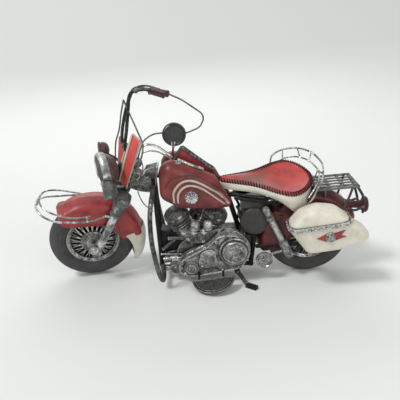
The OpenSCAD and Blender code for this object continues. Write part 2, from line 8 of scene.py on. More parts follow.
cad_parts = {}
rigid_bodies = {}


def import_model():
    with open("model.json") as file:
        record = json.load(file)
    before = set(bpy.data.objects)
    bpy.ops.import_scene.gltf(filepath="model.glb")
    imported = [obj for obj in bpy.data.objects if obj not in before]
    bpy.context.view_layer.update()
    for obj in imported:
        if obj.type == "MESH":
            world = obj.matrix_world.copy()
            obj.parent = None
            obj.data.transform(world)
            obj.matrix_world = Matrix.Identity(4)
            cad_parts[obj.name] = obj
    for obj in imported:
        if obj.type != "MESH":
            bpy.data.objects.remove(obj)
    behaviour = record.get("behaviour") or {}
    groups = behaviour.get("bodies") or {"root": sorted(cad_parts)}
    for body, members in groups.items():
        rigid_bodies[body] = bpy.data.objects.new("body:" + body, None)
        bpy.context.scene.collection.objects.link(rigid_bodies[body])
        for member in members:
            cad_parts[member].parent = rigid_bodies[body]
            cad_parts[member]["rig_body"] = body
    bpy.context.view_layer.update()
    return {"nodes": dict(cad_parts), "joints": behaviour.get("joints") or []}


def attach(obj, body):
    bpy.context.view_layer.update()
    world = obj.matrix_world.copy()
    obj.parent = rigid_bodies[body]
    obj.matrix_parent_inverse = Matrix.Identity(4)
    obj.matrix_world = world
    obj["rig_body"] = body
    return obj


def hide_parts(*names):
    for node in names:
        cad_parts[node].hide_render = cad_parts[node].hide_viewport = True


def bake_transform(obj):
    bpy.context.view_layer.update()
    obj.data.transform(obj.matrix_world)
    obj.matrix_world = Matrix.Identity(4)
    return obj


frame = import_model()

# ---------- frames of reference, in the upright machine's millimetres ----------
# X = 0 midway between the axles, Y = 0 its middle plane, Z = 0 the floor; -X is ahead, -Y is its left side
JOINT = {j["name"]: j for j in frame["joints"]}
REAR = JOINT["rear_wheel_spin"]
STEM = JOINT["steering"]
LEAN = math.atan2(REAR["axis"][2], REAR["axis"][1])
STEER, BAR_TURN = math.radians(15), math.radians(14)
REAR_AXLE = Vector((105.7, 0, 40.5))
FRONT_AXLE = Vector((-105.6, 0, 0))
FOOT = Vector((-98, 0, 40))
RAKE = math.asin(STEM["axis"][0])
AXIS = Vector((math.sin(RAKE), 0, math.cos(RAKE)))
BIKE = (Matrix.Translation(Vector(REAR["pos_m"])) @ Matrix.Rotation(LEAN, 4, "X") @ Matrix.Scale(0.001, 4)
        @ Matrix.Translation(-REAR_AXLE))
MIRROR = Matrix.Scale(-1, 4, Vector((0, 1, 0)))


def swung(angle):
    return BIKE @ Matrix.Translation(FOOT) @ Matrix.Rotation(angle, 4, AXIS) @ Matrix.Translation(-FOOT)


FORK = swung(STEER)
BARS = swung(STEER + BAR_TURN)
FRONT_AXLE.z = (FORK.inverted() @ Vector(JOINT["front_wheel_spin"]["pos_m"])).z


def stem_point(x, y, z):
    """A point given along the steering stem: x behind it, y to the right, z up it."""
    return FOOT + Matrix.Rotation(RAKE, 3, "Y") @ Vector((x, y, z))


# ---------- shapes ----------
def smooth(points, n=6):
    """Points along a Catmull-Rom curve through the given ones."""
    p = [Vector(q) for q in points]
    out = []
    for i in range(len(p) - 1):
        a, b, c, d = p[max(i - 1, 0)], p[i], p[i + 1], p[min(i + 2, len(p) - 1)]
        for k in range(n):
            t = k / n
            out.append(0.5 * (2 * b + (c - a) * t + (2 * a - 5 * b + 4 * c - d) * t * t
                              + (3 * b - a - 3 * c + d) * t ** 3))
    return out + [p[-1]]


class Shape:
    """Vertices and faces put together in millimetres before they become one piece."""

    def __init__(self):
        self.v, self.f = [], []

    def add(self, verts, faces):
        n = len(self.v)
        self.v += [Vector(q) for q in verts]
        self.f += [[i + n for i in f] for f in faces]
        return self

    def grid(self, rows, closed=False, caps=False):
        """Rows of points joined by quads; closed joins each row's ends."""
        m = len(rows[0])
        verts = [q for row in rows for q in row]
        last = m if closed else m - 1
        faces = [[i * m + j, i * m + (j + 1) % m, (i + 1) * m + (j + 1) % m, (i + 1) * m + j]
                 for i in range(len(rows) - 1) for j in range(last)]
        if caps:
            faces += [list(range(m))[::-1], [(len(rows) - 1) * m + j for j in range(m)]]
        return self.add(verts, faces)

    def tube(self, points, r, sides=12, n=6, flat=1.0):
        """Round rod along a curve; r is a number or a function of the way along, 0 to 1."""
        p = smooth(points, n) if n else [Vector(q) for q in points]
        t = [(p[min(i + 1, len(p) - 1)] - p[max(i - 1, 0)]).normalized() for i in range(len(p))]
        a = t[0].orthogonal().normalized()
        rows = []
        for i, q in enumerate(p):
            a = (a - t[i] * a.dot(t[i])).normalized()
            b = t[i].cross(a)
            s = r(i / (len(p) - 1)) if callable(r) else r
            rows.append([q + a * (s * math.cos(w)) + b * (s * flat * math.sin(w))
                         for w in (2 * math.pi * k / sides for k in range(sides))])
        return self.grid(rows, closed=True, caps=True)

    def lathe(self, profile, at=(0, 0, 0), along=(0, -1, 0), sides=64, phase=None):
        """Turns (radius, height) points about an axis; a profile that ends where it starts makes a ring."""
        z = Vector(along).normalized()
        x = z.orthogonal().normalized() if abs(z.y) < 0.99 else Vector((1, 0, 0))
        y = z.cross(x)
        rows = []
        for r, h in profile:
            row = []
            for k in range(sides):
                w = 2 * math.pi * k / sides
                s = phase(w, r, h) if phase else r
                row.append(Vector(at) + z * h + (x * math.cos(w) + y * math.sin(w)) * max(s, 0.001))
            rows.append(row)
        return self.grid(rows, closed=True, caps=profile[0] != profile[-1])

    def slab(self, outline, y0, y1, y_mid=None, inset=0.0):
        """Plate with a side-view outline (x, z) between two depths; inset slopes its outer face's edge."""
        n = len(outline)
        cx = sum(q[0] for q in outline) / n
        cz = sum(q[1] for q in outline) / n

        def ring(y, k):
            return [Vector((cx + (x - cx) * k, y, cz + (z - cz) * k)) for x, z in outline]
        rows = [ring(y1, 1), ring(y0 if y_mid is None else y_mid, 1)]
        if y_mid is not None:
            rows.append(ring(y0, 1 - inset))
        return self.grid(rows, closed=True, caps=True)

    def ball(self, at, r, squash=(1, 1, 1), n=12):
        rows = []
        for i in range(n + 1):
            u = math.pi * (0.001 + 0.998 * i / n)
            rows.append([Vector(at) + Vector((r * math.sin(u) * math.cos(w) * squash[0],
                        r * math.sin(u) * math.sin(w) * squash[1], r * math.cos(u) * squash[2]))
                        for w in (2 * math.pi * k / (2 * n) for k in range(2 * n))])
        return self.grid(rows, closed=True, caps=True)

    def mirrored(self):
        """Adds the same again on the other side of the middle plane."""
        verts = [Vector((q.x, -q.y, q.z)) for q in self.v]
        return self.add(verts, [f[::-1] for f in self.f])

    def piece(self, name, body, material, slot, space=BIKE, replaces=(), crisp=35, bevel=0.0, thick=0.0):
        mesh = bpy.data.meshes.new(name)
        mesh.from_pydata([space @ q for q in self.v], [], self.f)
        return finish_piece(mesh, name, body, material, replaces, crisp, bevel, thick)


def soften_edges(o, width):
    m = o.modifiers.new("edges", "BEVEL")
    m.width, m.segments, m.limit_method, m.angle_limit = width * 0.001, 2, "ANGLE", math.radians(40)


def finish_piece(mesh, name, body, material, replaces=(), crisp=35, bevel=0.0, thick=0.0):
    b = bmesh.new()
    b.from_mesh(mesh)
    bmesh.ops.remove_doubles(b, verts=b.verts, dist=1e-6)
    if not thick:
        bmesh.ops.recalc_face_normals(b, faces=b.faces)
    b.to_mesh(mesh)
    b.free()
    mesh.shade_smooth()
    mesh.set_sharp_from_angle(angle=math.radians(crisp))
    mesh.materials.append(material)
    o = bpy.data.objects.new(name, mesh)
    bpy.context.scene.collection.objects.link(o)
    if thick:
        m = o.modifiers.new("sheet", "SOLIDIFY")
        m.thickness, m.offset = thick * 0.001, 0
    if bevel:
        soften_edges(o, bevel)
    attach(o, body)
    if replaces:
        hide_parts(*replaces)
    return o


def reskinned(node, name, material, voxel, rounds, reshape=None):
    """A copy of a CAD node with its facets melted into one smooth skin."""
    mesh = frame["nodes"][node].data.copy()
    mesh.materials.clear()
    if reshape:
        for v in mesh.vertices:
            v.co = BIKE @ reshape(BIKE.inverted() @ v.co)
    o = finish_piece(mesh, name, "chassis", material, [node], 180)
    m = o.modifiers.new("skin", "REMESH")
    m.mode, m.voxel_size, m.use_smooth_shade = "VOXEL", voxel, True
    m = o.modifiers.new("soften", "SMOOTH")
    m.factor, m.iterations = 0.5, rounds
    return o


# ---------- materials ----------
AO_SAMPLES = 6


class Paint:
    """A small helper that builds one procedural material in millimetre scale."""

    def __init__(self, name):
        self.m = bpy.data.materials.new(name)
        self.m.use_nodes = True
        self.t = self.m.node_tree
        self.bsdf = self.t.nodes["Principled BSDF"]
        self.coord = self.node("ShaderNodeTexCoord").outputs["Object"]

    def node(self, kind, **values):
        n = self.t.nodes.new(kind)
        for k, v in values.items():
            setattr(n, k, v)
        return n

    def link(self, a, b):
        self.t.links.new(a, b)

    def noise(self, size, detail=5, rough=0.6, distort=0.0):
        """Noise whose features are about `size` millimetres."""
        mapping = self.node("ShaderNodeMapping")
        mapping.inputs["Scale"].default_value = [1000 / size] * 3
        self.link(self.coord, mapping.inputs["Vector"])
        n = self.node("ShaderNodeTexNoise")
        n.inputs["Scale"].default_value = 1
        n.inputs["Detail"].default_value = detail
        n.inputs["Roughness"].default_value = rough
        n.inputs["Distortion"].default_value = distort
        self.link(mapping.outputs[0], n.inputs["Vector"])
        return n.outputs["Fac"]

    def ramp(self, source, *stops):
        n = self.node("ShaderNodeValToRGB")
        e = n.color_ramp.elements
        e[0].position, e[1].position = stops[0][0], stops[-1][0]
        for at, _ in stops[1:-1]:
            e.new(at)
        for el, (at, c) in zip(e, stops):
            el.color = (*c, 1) if len(c) == 3 else c
        self.link(source, n.inputs["Fac"])
        return n.outputs["Color"]

    def mix(self, a, b, factor, mode="MIX"):
        n = self.node("ShaderNodeMix", data_type="RGBA", blend_type=mode)
        for socket, value in (("A_Color", a), ("B_Color", b), ("Factor_Float", factor)):
            i = next(s for s in n.inputs if s.identifier == socket)
            if isinstance(value, (tuple, float, int)):
                i.default_value = (*value, 1) if isinstance(value, tuple) else value
            else:
                self.link(value, i)
        return next(s for s in n.outputs if s.identifier == "Result_Color")

    def crevice(self, reach=3.0):
        """White on open faces, dark where surfaces meet."""
        n = self.node("ShaderNodeAmbientOcclusion", samples=AO_SAMPLES)
        n.inputs["Distance"].default_value = reach * 0.001
        return n.outputs["AO"]

    def outer_edge(self, reach):
        """White along outward edges and on thin wire, black on broad faces."""
        n = self.node("ShaderNodeAmbientOcclusion", samples=AO_SAMPLES, inside=True, only_local=True)
        n.inputs["Distance"].default_value = reach * 0.001
        return self.scalar(n.outputs["AO"], 1.0, 0.0)

    def scalar(self, source, low, high):
        n = self.node("ShaderNodeMapRange")
        n.inputs["To Min"].default_value, n.inputs["To Max"].default_value = low, high
        self.link(source, n.inputs["Value"])
        return n.outputs[0]

    def bump(self, *layers):
        """Layers are (height source, strength, depth in mm)."""
        before = None
        for source, strength, depth in layers:
            n = self.node("ShaderNodeBump")
            n.inputs["Strength"].default_value = strength
            n.inputs["Distance"].default_value = depth * 0.001
            self.link(source, n.inputs["Height"])
            if before:
                self.link(before, n.inputs["Normal"])
            before = n.outputs[0]
        self.link(before, self.bsdf.inputs["Normal"])

    def finish(self, color, rough, metal=0.0, coat=0.0, shine=0.5):
        self.link(color, self.bsdf.inputs["Base Color"])
        self.link(rough, self.bsdf.inputs["Roughness"])
        if isinstance(metal, float):
            self.bsdf.inputs["Metallic"].default_value = metal
        else:
            self.link(metal, self.bsdf.inputs["Metallic"])
        self.bsdf.inputs["Specular IOR Level"].default_value = shine
        self.bsdf.inputs["Coat Weight"].default_value = coat
        self.bsdf.inputs["Coat Roughness"].default_value = 0.3
        return self.m


WASH, SILVER = (0.006, 0.006, 0.006), (0.68, 0.67, 0.64)


def antique(name, cover=0.5, grain=1.6, bright=SILVER, dark=WASH, hollow=3.0, edges=0.9, reach=0.9):
    """Black washed tin with silver brushed over it: cover is how much of the open faces the silver takes."""
    p = Paint(name)
    fine = p.noise(grain, 7, 0.72, 0.4)
    broad = p.noise(grain * 5, 4, 0.6, 0.6)
    mask = p.ramp(fine, (0.44 - 0.2 * cover, (0, 0, 0)), (0.78 - 0.2 * cover, (1, 1, 1)))
    wear = p.ramp(broad, (0.34, (0.15, 0.15, 0.15)), (0.62, (1, 1, 1)))
    mask = p.mix(mask, wear, 1.0, "MULTIPLY")
    open_face = p.ramp(p.crevice(hollow), (0.5, (0.0, 0.0, 0.0)), (0.95, (1, 1, 1)))
    mask = p.mix(mask, open_face, 0.95, "MULTIPLY")
    brushed = p.ramp(p.outer_edge(reach), (0.15, (0, 0, 0)), (0.45, (1, 1, 1)))
    patchy = p.ramp(p.noise(grain * 1.8, 5, 0.65, 0.3), (0.36, (0.2, 0.2, 0.2)), (0.5, (1, 1, 1)))
    brushed = p.mix((0.0, 0.0, 0.0), p.mix(brushed, patchy, 1.0, "MULTIPLY"), edges)
    mask = p.mix(mask, brushed, 1.0, "LIGHTEN")
    middle = tuple(d + 0.30 * (b - d) for d, b in zip(dark, bright))
    color = p.ramp(mask, (0.0, dark), (0.55, middle), (1.0, bright))
    p.bump((broad, 0.3, 0.5), (fine, 0.5, 0.14))
    return p.finish(color, p.scalar(mask, 0.6, 0.30), p.scalar(mask, 0.0, 0.85), shine=0.22)


def enamel(name, color, shade, grain=9.0, corner_shade_strength=0.5, speck=0.0, coat=0.12, worn=None, gloss=(0.5, 0.36),
           shine=0.4):
    """Brush-painted tin: uneven colour, painted shade in the corners, fine specks and a hand-beaten surface.
    """
    p = Paint(name)
    broad = p.noise(grain, 4, 0.55, 0.3)
    fine = p.noise(1.1, 6, 0.7)
    tone = p.ramp(broad, (0.3, shade), (0.62, color))
    # painted shade: colour darkened where surfaces meet, from ambient occlusion
    corner_shade = p.ramp(p.crevice(6.0), (0.25, (0.16, 0.14, 0.13)), (0.85, (1, 1, 1)))
    tone = p.mix(tone, corner_shade, corner_shade_strength, "MULTIPLY")
    if speck:
        spots = p.ramp(p.noise(1.5, 3, 0.5), (0.62, (0, 0, 0)), (0.67, (1, 1, 1)))
        tone = p.mix(tone, worn or (0.03, 0.02, 0.02), p.mix((0, 0, 0), spots, speck))
    p.bump((broad, 0.3, 0.6), (fine, 0.35, 0.07))
    return p.finish(tone, p.scalar(fine, *gloss), 0.0, coat, shine)


M_SILVER = antique("antique_silver", 1.1, 1.2, (0.74, 0.73, 0.70), reach=2.0, edges=0.95)
M_DARKSILVER = antique("washed_silver", 0.45, 1.3, reach=2.0, edges=0.95)
M_BRIGHT = antique("bright_silver", 1.7, 1.1, (0.86, 0.85, 0.82), (0.03, 0.03, 0.03), 1.6)
M_BLACK = antique("black_worn", -0.3, 2.4, (0.66, 0.66, 0.64), (0.006, 0.006, 0.006), edges=0.5, reach=1.6)
M_STRAP = antique("strap_black", 0.25, 3.0, (0.72, 0.72, 0.70), (0.006, 0.006, 0.006), edges=0.8, reach=1.6)
M_CHROME = antique("tarnished_chrome", 2.4, 1.6, (0.88, 0.88, 0.86), (0.05, 0.05, 0.05), 1.0)
M_LEG = antique("fork_silver", 1.6, 1.6, (0.90, 0.90, 0.88), reach=1.2, edges=1.0)
M_RAIL = antique("worn_wire", 1.2, 2.0, (0.88, 0.88, 0.86), edges=1.0)
M_SHROUD = antique("patina_shroud", 0.9, 2.4, (0.46, 0.49, 0.46), (0.03, 0.035, 0.033), edges=0.5,
                   reach=2.0)
M_RED = enamel("fender_red", (0.38, 0.050, 0.046), (0.20, 0.026, 0.026), 11, 0.8)
M_TANK = enamel("tank_red", (0.235, 0.038, 0.036), (0.085, 0.017, 0.017), 13, 0.9)
M_MAROON = enamel("rear_red", (0.13, 0.019, 0.020), (0.038, 0.008, 0.009), 10, 0.9)
M_CORAL = enamel("panel_coral", (0.72, 0.105, 0.090), (0.60, 0.080, 0.070), 10, 0.3)
M_CREAM = enamel("cream", (0.75, 0.71, 0.61), (0.60, 0.56, 0.46), 12, 0.35, 0.15, 0.2, (0.35, 0.30, 0.24))
M_STRIPE = enamel("stripe_cream", (0.55, 0.50, 0.41), (0.42, 0.38, 0.31), 5, 0.2)
M_TYRE = enamel("tyre_grey", (0.064, 0.064, 0.063), (0.042, 0.042, 0.042), 8, 0.5, 0.15, 0.0,
                (0.11, 0.11, 0.11),
                (0.75, 0.6))
M_LAMP = enamel("lamp_brown", (0.115, 0.070, 0.062), (0.060, 0.036, 0.034), 2.5, 0.7, 0.55, 0.1,
                (0.32, 0.29, 0.27))
M_GRIP = enamel("grip_brown", (0.13, 0.045, 0.040), (0.055, 0.02, 0.02), 3, 0.6, 0.3, 0.1,
                (0.02, 0.01, 0.01))
M_OIL = enamel("oil_tank_brown", (0.050, 0.040, 0.034), (0.022, 0.020, 0.018), 10, 0.6, 0.1, 0.15,
               (0.1, 0.09, 0.08))
M_BLACKPAINT = enamel("frame_black", (0.012, 0.012, 0.013), (0.005, 0.005, 0.006), 5, 0.5, 0.3, 0.03,
                      (0.16, 0.16, 0.155), shine=0.2)
M_LENS = antique("ribbed_lens", 0.75, 2.2, (0.50, 0.50, 0.48), (0.02, 0.02, 0.02), 1.6)
M_STALK = enamel("stalk_red", (0.20, 0.018, 0.018), (0.10, 0.01, 0.01), 3, 0.3)
M_DISC = enamel("mirror_black", (0.040, 0.040, 0.042), (0.020, 0.020, 0.021), 4, 0.6, 0.2, 0.3,
                (0.3, 0.3, 0.3))


def saddle_leather():
    """Coral seat: pebbled skin, a grey-brown scuff where the neck narrows, painted shade darker towards the
    rim.
    """
    p = Paint("saddle_coral")
    broad = p.noise(11, 4, 0.55)
    pebble = p.noise(0.9, 5, 0.62)
    tone = p.ramp(broad, (0.3, (0.33, 0.038, 0.036)), (0.6, (0.53, 0.070, 0.062)))
    scuff_at = p.node("ShaderNodeVectorMath", operation="DISTANCE")
    p.link(p.coord, scuff_at.inputs[0])
    scuff_at.inputs[1].default_value = BIKE @ Vector((52, -5, 99))
    near = p.node("ShaderNodeMapRange")
    near.inputs["From Min"].default_value, near.inputs["From Max"].default_value = 0.030, 0.008
    p.link(scuff_at.outputs["Value"], near.inputs["Value"])
    patch = p.mix(near.outputs[0], p.ramp(p.noise(6, 4), (0.34, (0.2, 0.2, 0.2)), (0.55, (1, 1, 1))), 1.0,
                  "MULTIPLY")
    tone = p.mix(tone, (0.19, 0.095, 0.078), p.mix((0, 0, 0), patch, 0.85))
    # painted shade: darker where the cushion meets its rim and skirt, from ambient occlusion
    rim = p.ramp(p.crevice(5.0), (0.3, (0.25, 0.2, 0.2)), (0.85, (1, 1, 1)))
    tone = p.mix(tone, rim, 0.7, "MULTIPLY")
    p.bump((broad, 0.3, 0.8), (pebble, 0.45, 0.12))
    return p.finish(tone, p.scalar(pebble, 0.42, 0.55), 0.0, 0.1)


M_SADDLE = saddle_leather()


def cad(names, material, bevel=0.0):
    """A CAD node that stays as it is, with a finished material and softened edges."""
    for name in names.split():
        o = frame["nodes"][name]
        o.data.materials.clear()
        o.data.materials.append(material)
        if bevel:
            soften_edges(o, bevel)


# ---------- wheels ----------
TYRE_T, BEAD_R, RIM_W, SPOKES = 8.9, 25.0, 5.4, 40


def tyre_profile(r):
    """Round section with a rolled bead, a sidewall line and three shallow tread grooves."""
    centre = r - TYRE_T
    points = []
    half = math.acos((BEAD_R - centre) / TYRE_T)
    n = 60
    for i in range(n + 1):
        w = -half + 2 * half * i / n
        s = TYRE_T
        if abs(abs(w) - 1.55) < 0.06 or abs(abs(w) - 1.95) < 0.06:
            s -= 0.28
        if min(abs(w - g) for g in (-0.36, 0, 0.36)) < 0.05:
            s -= 0.35
        points.append((centre + s * math.cos(w), s * math.sin(w)))
    return points + points[:1]


def wheel(name, body, axle, space, r, nodes):
    tyre, rim, hub, spokes = nodes
    Shape().lathe(tyre_profile(r), axle, sides=128).piece(f"{name}_tyre", body, M_TYRE, "tyre_rubber",
                                                          space, [tyre], 50)
    edge = [(BEAD_R - 3.2, -RIM_W + 1.2), (BEAD_R - 0.6, -RIM_W - 0.5), (BEAD_R + 0.7, -RIM_W - 0.1),
            (BEAD_R + 0.5, -RIM_W + 0.9), (BEAD_R - 0.2, -3), (BEAD_R - 0.2, 3),
            (BEAD_R + 0.5, RIM_W - 0.9),
            (BEAD_R + 0.7, RIM_W + 0.1), (BEAD_R - 0.6, RIM_W + 0.5), (BEAD_R - 3.2, RIM_W - 1.2),
            (BEAD_R - 2.6, 2.6), (BEAD_R - 1.8, 1.5), (BEAD_R - 1.8, -1.5), (BEAD_R - 2.6, -2.6)]
    Shape().lathe(edge + edge[:1], axle, sides=96).piece(f"{name}_rim", body, M_SILVER, "aged_silver",
                                                         space, [rim], 40)
    drum = Shape()
    face = [(0.1, -9), (1.9, -9), (1.9, -8.6), (3.4, -8.4), (3.6, -7), (5.4, -6.9), (6.4, -6.2), (6.6, -5),
            (6.2, -4),
            (3.6, -3.6), (3.6, 2.8), (11, 3), (11.5, 3.6), (11.5, 6.4), (10.6, 7.2), (7, 7.5), (6.6, 8.6),
            (3.2, 9),
            (2.4, 9.2), (0.1, 9.2)]
    drum.lathe(face, axle, along=(0, 1, 0), sides=64)
    near = [(3.4, 7.6), (5, 8.6), (6.2, 8.4), (6.8, 7.4), (9.6, 7.0), (10.4, 7.6), (11.4, 7.2), (12, 6.2),
            (12, 5), (3.4, 5)]
    drum.lathe(near + near[:1], axle, along=(0, -1, 0), sides=64)
    for k in range(8):
        w = math.tau * (k + 0.5) / 8
        drum.ball(Vector(axle) + Vector((8.2 * math.cos(w), -7.4, 8.2 * math.sin(w))), 0.75, (1, 0.8, 1), 5)
    drum.piece(f"{name}_drum", body, M_SILVER, "aged_silver", space, [hub], 40)
    # Painted shade: a black disc between the two spoke sets stands for the shadow in the gaps between the
    # spokes.
    spoke_gap_shade = [(3.7, 1.6), (BEAD_R - 2.0, 0.9), (BEAD_R - 2.0, 1.7), (3.7, 2.6), (3.7, 1.6)]
    Shape().lathe(spoke_gap_shade, axle, (0, 1, 0), 64).piece(f"{name}_web", body, M_BLACKPAINT, "black_paint", space)
    # The far spoke set gets the black material as painted shade of the wheel's far side; the near set is
    # bright silver.
    for side, material, label in ((-1, M_BRIGHT, "near"), (1, M_BLACK, "far")):
        w = Shape()
        for k in range(SPOKES):
            a = math.tau * (k + (0.5 if side > 0 else 0)) / SPOKES
            lean = 0.10 if k % 2 else -0.10
            inner = Vector((11.0 * math.cos(a + lean), side * 5.4, 11.0 * math.sin(a + lean)))
            outer = Vector(((BEAD_R - 2.2) * math.cos(a), side * 1.6, (BEAD_R - 2.2) * math.sin(a)))
            w.tube([Vector(axle) + inner, Vector(axle) + outer], lambda t: 0.58 + 0.1 * t, 8, 0)
            w.ball(Vector(axle) + outer * 0.985, 0.85, n=4)
        w.piece(f"{name}_spokes_{label}", body, material, "aged_silver", space,
                [spokes] if side < 0 and spokes else [])


wheel("front", "front_wheel", FRONT_AXLE, FORK, 41.2,
      ("front_tyre", "front_rim", "front_hub", "front_spokes"))
wheel("rear", "rear_wheel", REAR_AXLE, BIKE, 40.5, ("rear_tyre", "rear_rim", "rear_wheel_hub", None))


# ---------- fenders ----------
def cross(points, at, way):
    """How far from `at` along `way`, in the side view, the open line of points is first met."""
    best = None
    for (x0, z0), (x1, z1) in zip(points, points[1:]):
        ex, ez = x1 - x0, z1 - z0
        det = way[0] * -ez + way[1] * ex
        if abs(det) < 1e-9:
            continue
        px, pz = x0 - at[0], z0 - at[1]
        s = (px * -ez + pz * ex) / det
        u = (way[0] * pz - way[1] * px) / det
        if s > 0 and -0.001 <= u <= 1.001 and (best is None or s < best):
            best = s
    return best


def fender_rows(axle, crown, half_w, hem, a0, a1, n=48, drop=6.0, ridge=0.5):
    """Rows over a crowned fender, from a0 to a1 degrees from ahead over the top; hem is its lower line."""
    rows = []
    for i in range(n + 1):
        t = i / n
        a = math.radians(a0 + (a1 - a0) * t)
        way = (-math.cos(a), math.sin(a))
        low = cross(hem, (axle.x, axle.z), way)
        shoulder = (crown(t) if callable(crown) else crown) - drop
        low = min(low if low else shoulder - 1, shoulder - 0.6)
        row = []
        for k in range(-16, 17):
            u = k / 16
            if abs(u) <= 0.62:
                y = half_w * math.sin(abs(u) / 0.62 * math.pi / 2) * (1 if u > 0 else -1)
                r = shoulder + drop * math.cos(abs(u) / 0.62 * math.pi / 2) + ridge * math.exp(-(u * 14) ** 2)
            else:
                y = math.copysign(half_w * (1 + 0.015 * math.sin((abs(u) - 0.62) / 0.38 * math.pi)), u)
                r = shoulder - (shoulder - low) * (abs(u) - 0.62) / 0.38
            row.append(Vector((axle.x + way[0] * r, y, axle.z + way[1] * r)))
        rows.append(row)
    return rows


def hem_bead(rows, r=0.55):
    """Rolled edge round a sheet grid."""
    line = ([row[0] for row in rows] + rows[-1][1:] + [row[-1] for row in rows[::-1]][1:]
            + rows[0][::-1][1:])
    return Shape().tube(line[::2] + [line[0]], r, 8, 1)


FRONT_HEM = [(-140, 74), (-133.5, 72), (-126, 66.5), (-108, 65.5), (-92, 64), (-84, 57), (-77, 46),
             (-60, 30)]
FRONT_CREST = [(49, 48), (56, 48.6), (62, 45.8), (70, 46.4), (80, 47), (92, 47), (111, 48), (127, 48.8),
               (144, 50),
               (160, 50), (172, 49.5)]
NOSE_X = -133.3


def front_crest(t):
    """The crest's radius along the front fender; its front end is folded down flat."""
    a = 49 + (172 - 49) * t
    (a0, r0), (a1, r1) = next((p, q) for p, q in zip(FRONT_CREST, FRONT_CREST[1:]) if a <= q[0] + 0.01)
    r = r0 + (r1 - r0) * (a - a0) / (a1 - a0)
    return min(r, (FRONT_AXLE.x - NOSE_X) / math.cos(math.radians(a))) if a < 80 else r


rows = fender_rows(FRONT_AXLE, front_crest, 14.2, FRONT_HEM, 49, 172, 60, 5.0)
Shape().grid(rows).piece("front_fender_sheet", "fork", M_RED, "red_paint", FORK, ["front_fender"], 60,
                         thick=0.9)
hem_bead(rows, 0.6).piece("front_fender_hem", "fork", M_RED, "red_paint", FORK)
Shape().tube([(-82, -14.4, 78), (-80, -14.6, 60), (-79, -14.4, 52)], 0.45, 8).mirrored().piece(
    "front_fender_seam", "fork", M_MAROON, "red_paint", FORK)


def flap_rows(n=30):
    """Cream tongue that carries the fender's rear on downwards and narrows to a rounded tip."""
    out = []
    for i in range(n + 1):
        t = i / n
        a = math.radians(168 + 49.5 * t)
        way = (-math.cos(a), math.sin(a))
        w = 14.4 * math.sqrt(max(1 - (t * 0.985) ** 3.2, 0)) + 0.8
        row = []
        for k in range(-12, 13):
            u = k / 12
            r = 51.4 - (18.5 - 13 * t) * abs(u) ** 2.4 * min(w / 8, 1) + 0.5 * math.exp(-(u * 9) ** 2)
            row.append(Vector((FRONT_AXLE.x + way[0] * r, w * math.sin(u * math.pi / 2),
                               FRONT_AXLE.z + way[1] * r)))
        out.append(row)
    return out


rows = flap_rows()
Shape().grid(rows).piece("mudflap_sheet", "fork", M_CREAM, "cream_paint", FORK, ["mudflap"], 60, thick=0.9)
hem_bead(rows, 0.5).piece("mudflap_hem", "fork", M_CREAM, "cream_paint", FORK)

REAR_HEM = [(50, 40), (66, 33), (72, 26), (84, 30), (88, 50), (105.7, 62), (125, 62), (160, 62)]
rows = fender_rows(REAR_AXLE, 48.2, 14.8, REAR_HEM, -14, 152, 56, 5.5, 0.6)
Shape().grid(rows).piece("rear_fender_sheet", "chassis", M_MAROON, "dark_red_paint", BIKE, ["rear_fender"],
                         60,
                         thick=0.9)
hem_bead(rows, 0.6).piece("rear_fender_hem", "chassis", M_MAROON, "dark_red_paint")


# ---------- fork, lamps and screen ----------
def fluted(w, r, h):
    return r * (1 + 0.05 * math.cos(16 * w)) if 3 < h < 48 else r


LEG_Y = 19.5
legs = Shape()
shrouds = Shape()
for side in (-1, 1):
    low = stem_point(-2.5, LEG_Y * side, -10)
    along = stem_point(0, 0, 1) - stem_point(0, 0, 0)
    legs.lathe([(0.1, 0), (2.4, 0), (3.4, 1), (3.9, 2.4), (3.9, 3), (3.4, 3.6), (3.4, 25), (3.5, 47),
                (3.9, 48),
                (3.9, 51), (0.1, 51)], low, along, 64, fluted)
    legs.lathe([(0.1, -3.6), (2.2, -3.6), (2.6, -3), (4.3, -2.6), (4.3, 2.6), (2.6, 3), (2.2, 3.6),
                (0.1, 3.6)],
               FRONT_AXLE + Vector((0, LEG_Y * side, 0)), (0, 1, 0), 32)
    shrouds.lathe([(0.1, 49), (3.6, 49), (4.6, 50), (4.7, 53), (5.8, 58), (7.4, 64), (7.8, 69), (6.6, 73.6),
                   (3, 75), (0.1, 75.2)], low, along, 48)
    shrouds.lathe([(4.6, 49.5), (5.4, 50.2), (5.4, 51.8), (4.6, 52.4)], low, along, 48)
legs.piece("fork_leg_tubes", "fork", M_LEG, "aged_silver", FORK, ["fork_legs"], 30)
shrouds.piece("fork_shrouds", "fork", M_SHROUD, "aged_silver", FORK, crisp=40)
yoke = Shape()
yoke.lathe([(0.1, 46), (4.2, 46.4), (4.8, 48), (4.8, 51), (4.4, 52), (4.4, 86), (5.6, 87), (5.6, 91),
            (4.4, 92.5), (0.1, 93)],
           FOOT, along, 32)
yoke.tube([stem_point(-2.5, -LEG_Y, 55), stem_point(-1, -9, 55), stem_point(-1, 9, 55),
           stem_point(-2.5, LEG_Y, 55)], 5.4, 20)
yoke.tube([stem_point(-2.5, -9, 85), stem_point(-2.5, 9, 85)], 4.4, 16, 4, 0.7)
yoke.tube([stem_point(-3, 0, 58), stem_point(-9, 0, 68), stem_point(-11, 0, 84)], 3.4, 16)
yoke.piece("fork_yoke", "fork", M_SHROUD, "aged_silver", FORK, ["fork_crown"], 40)

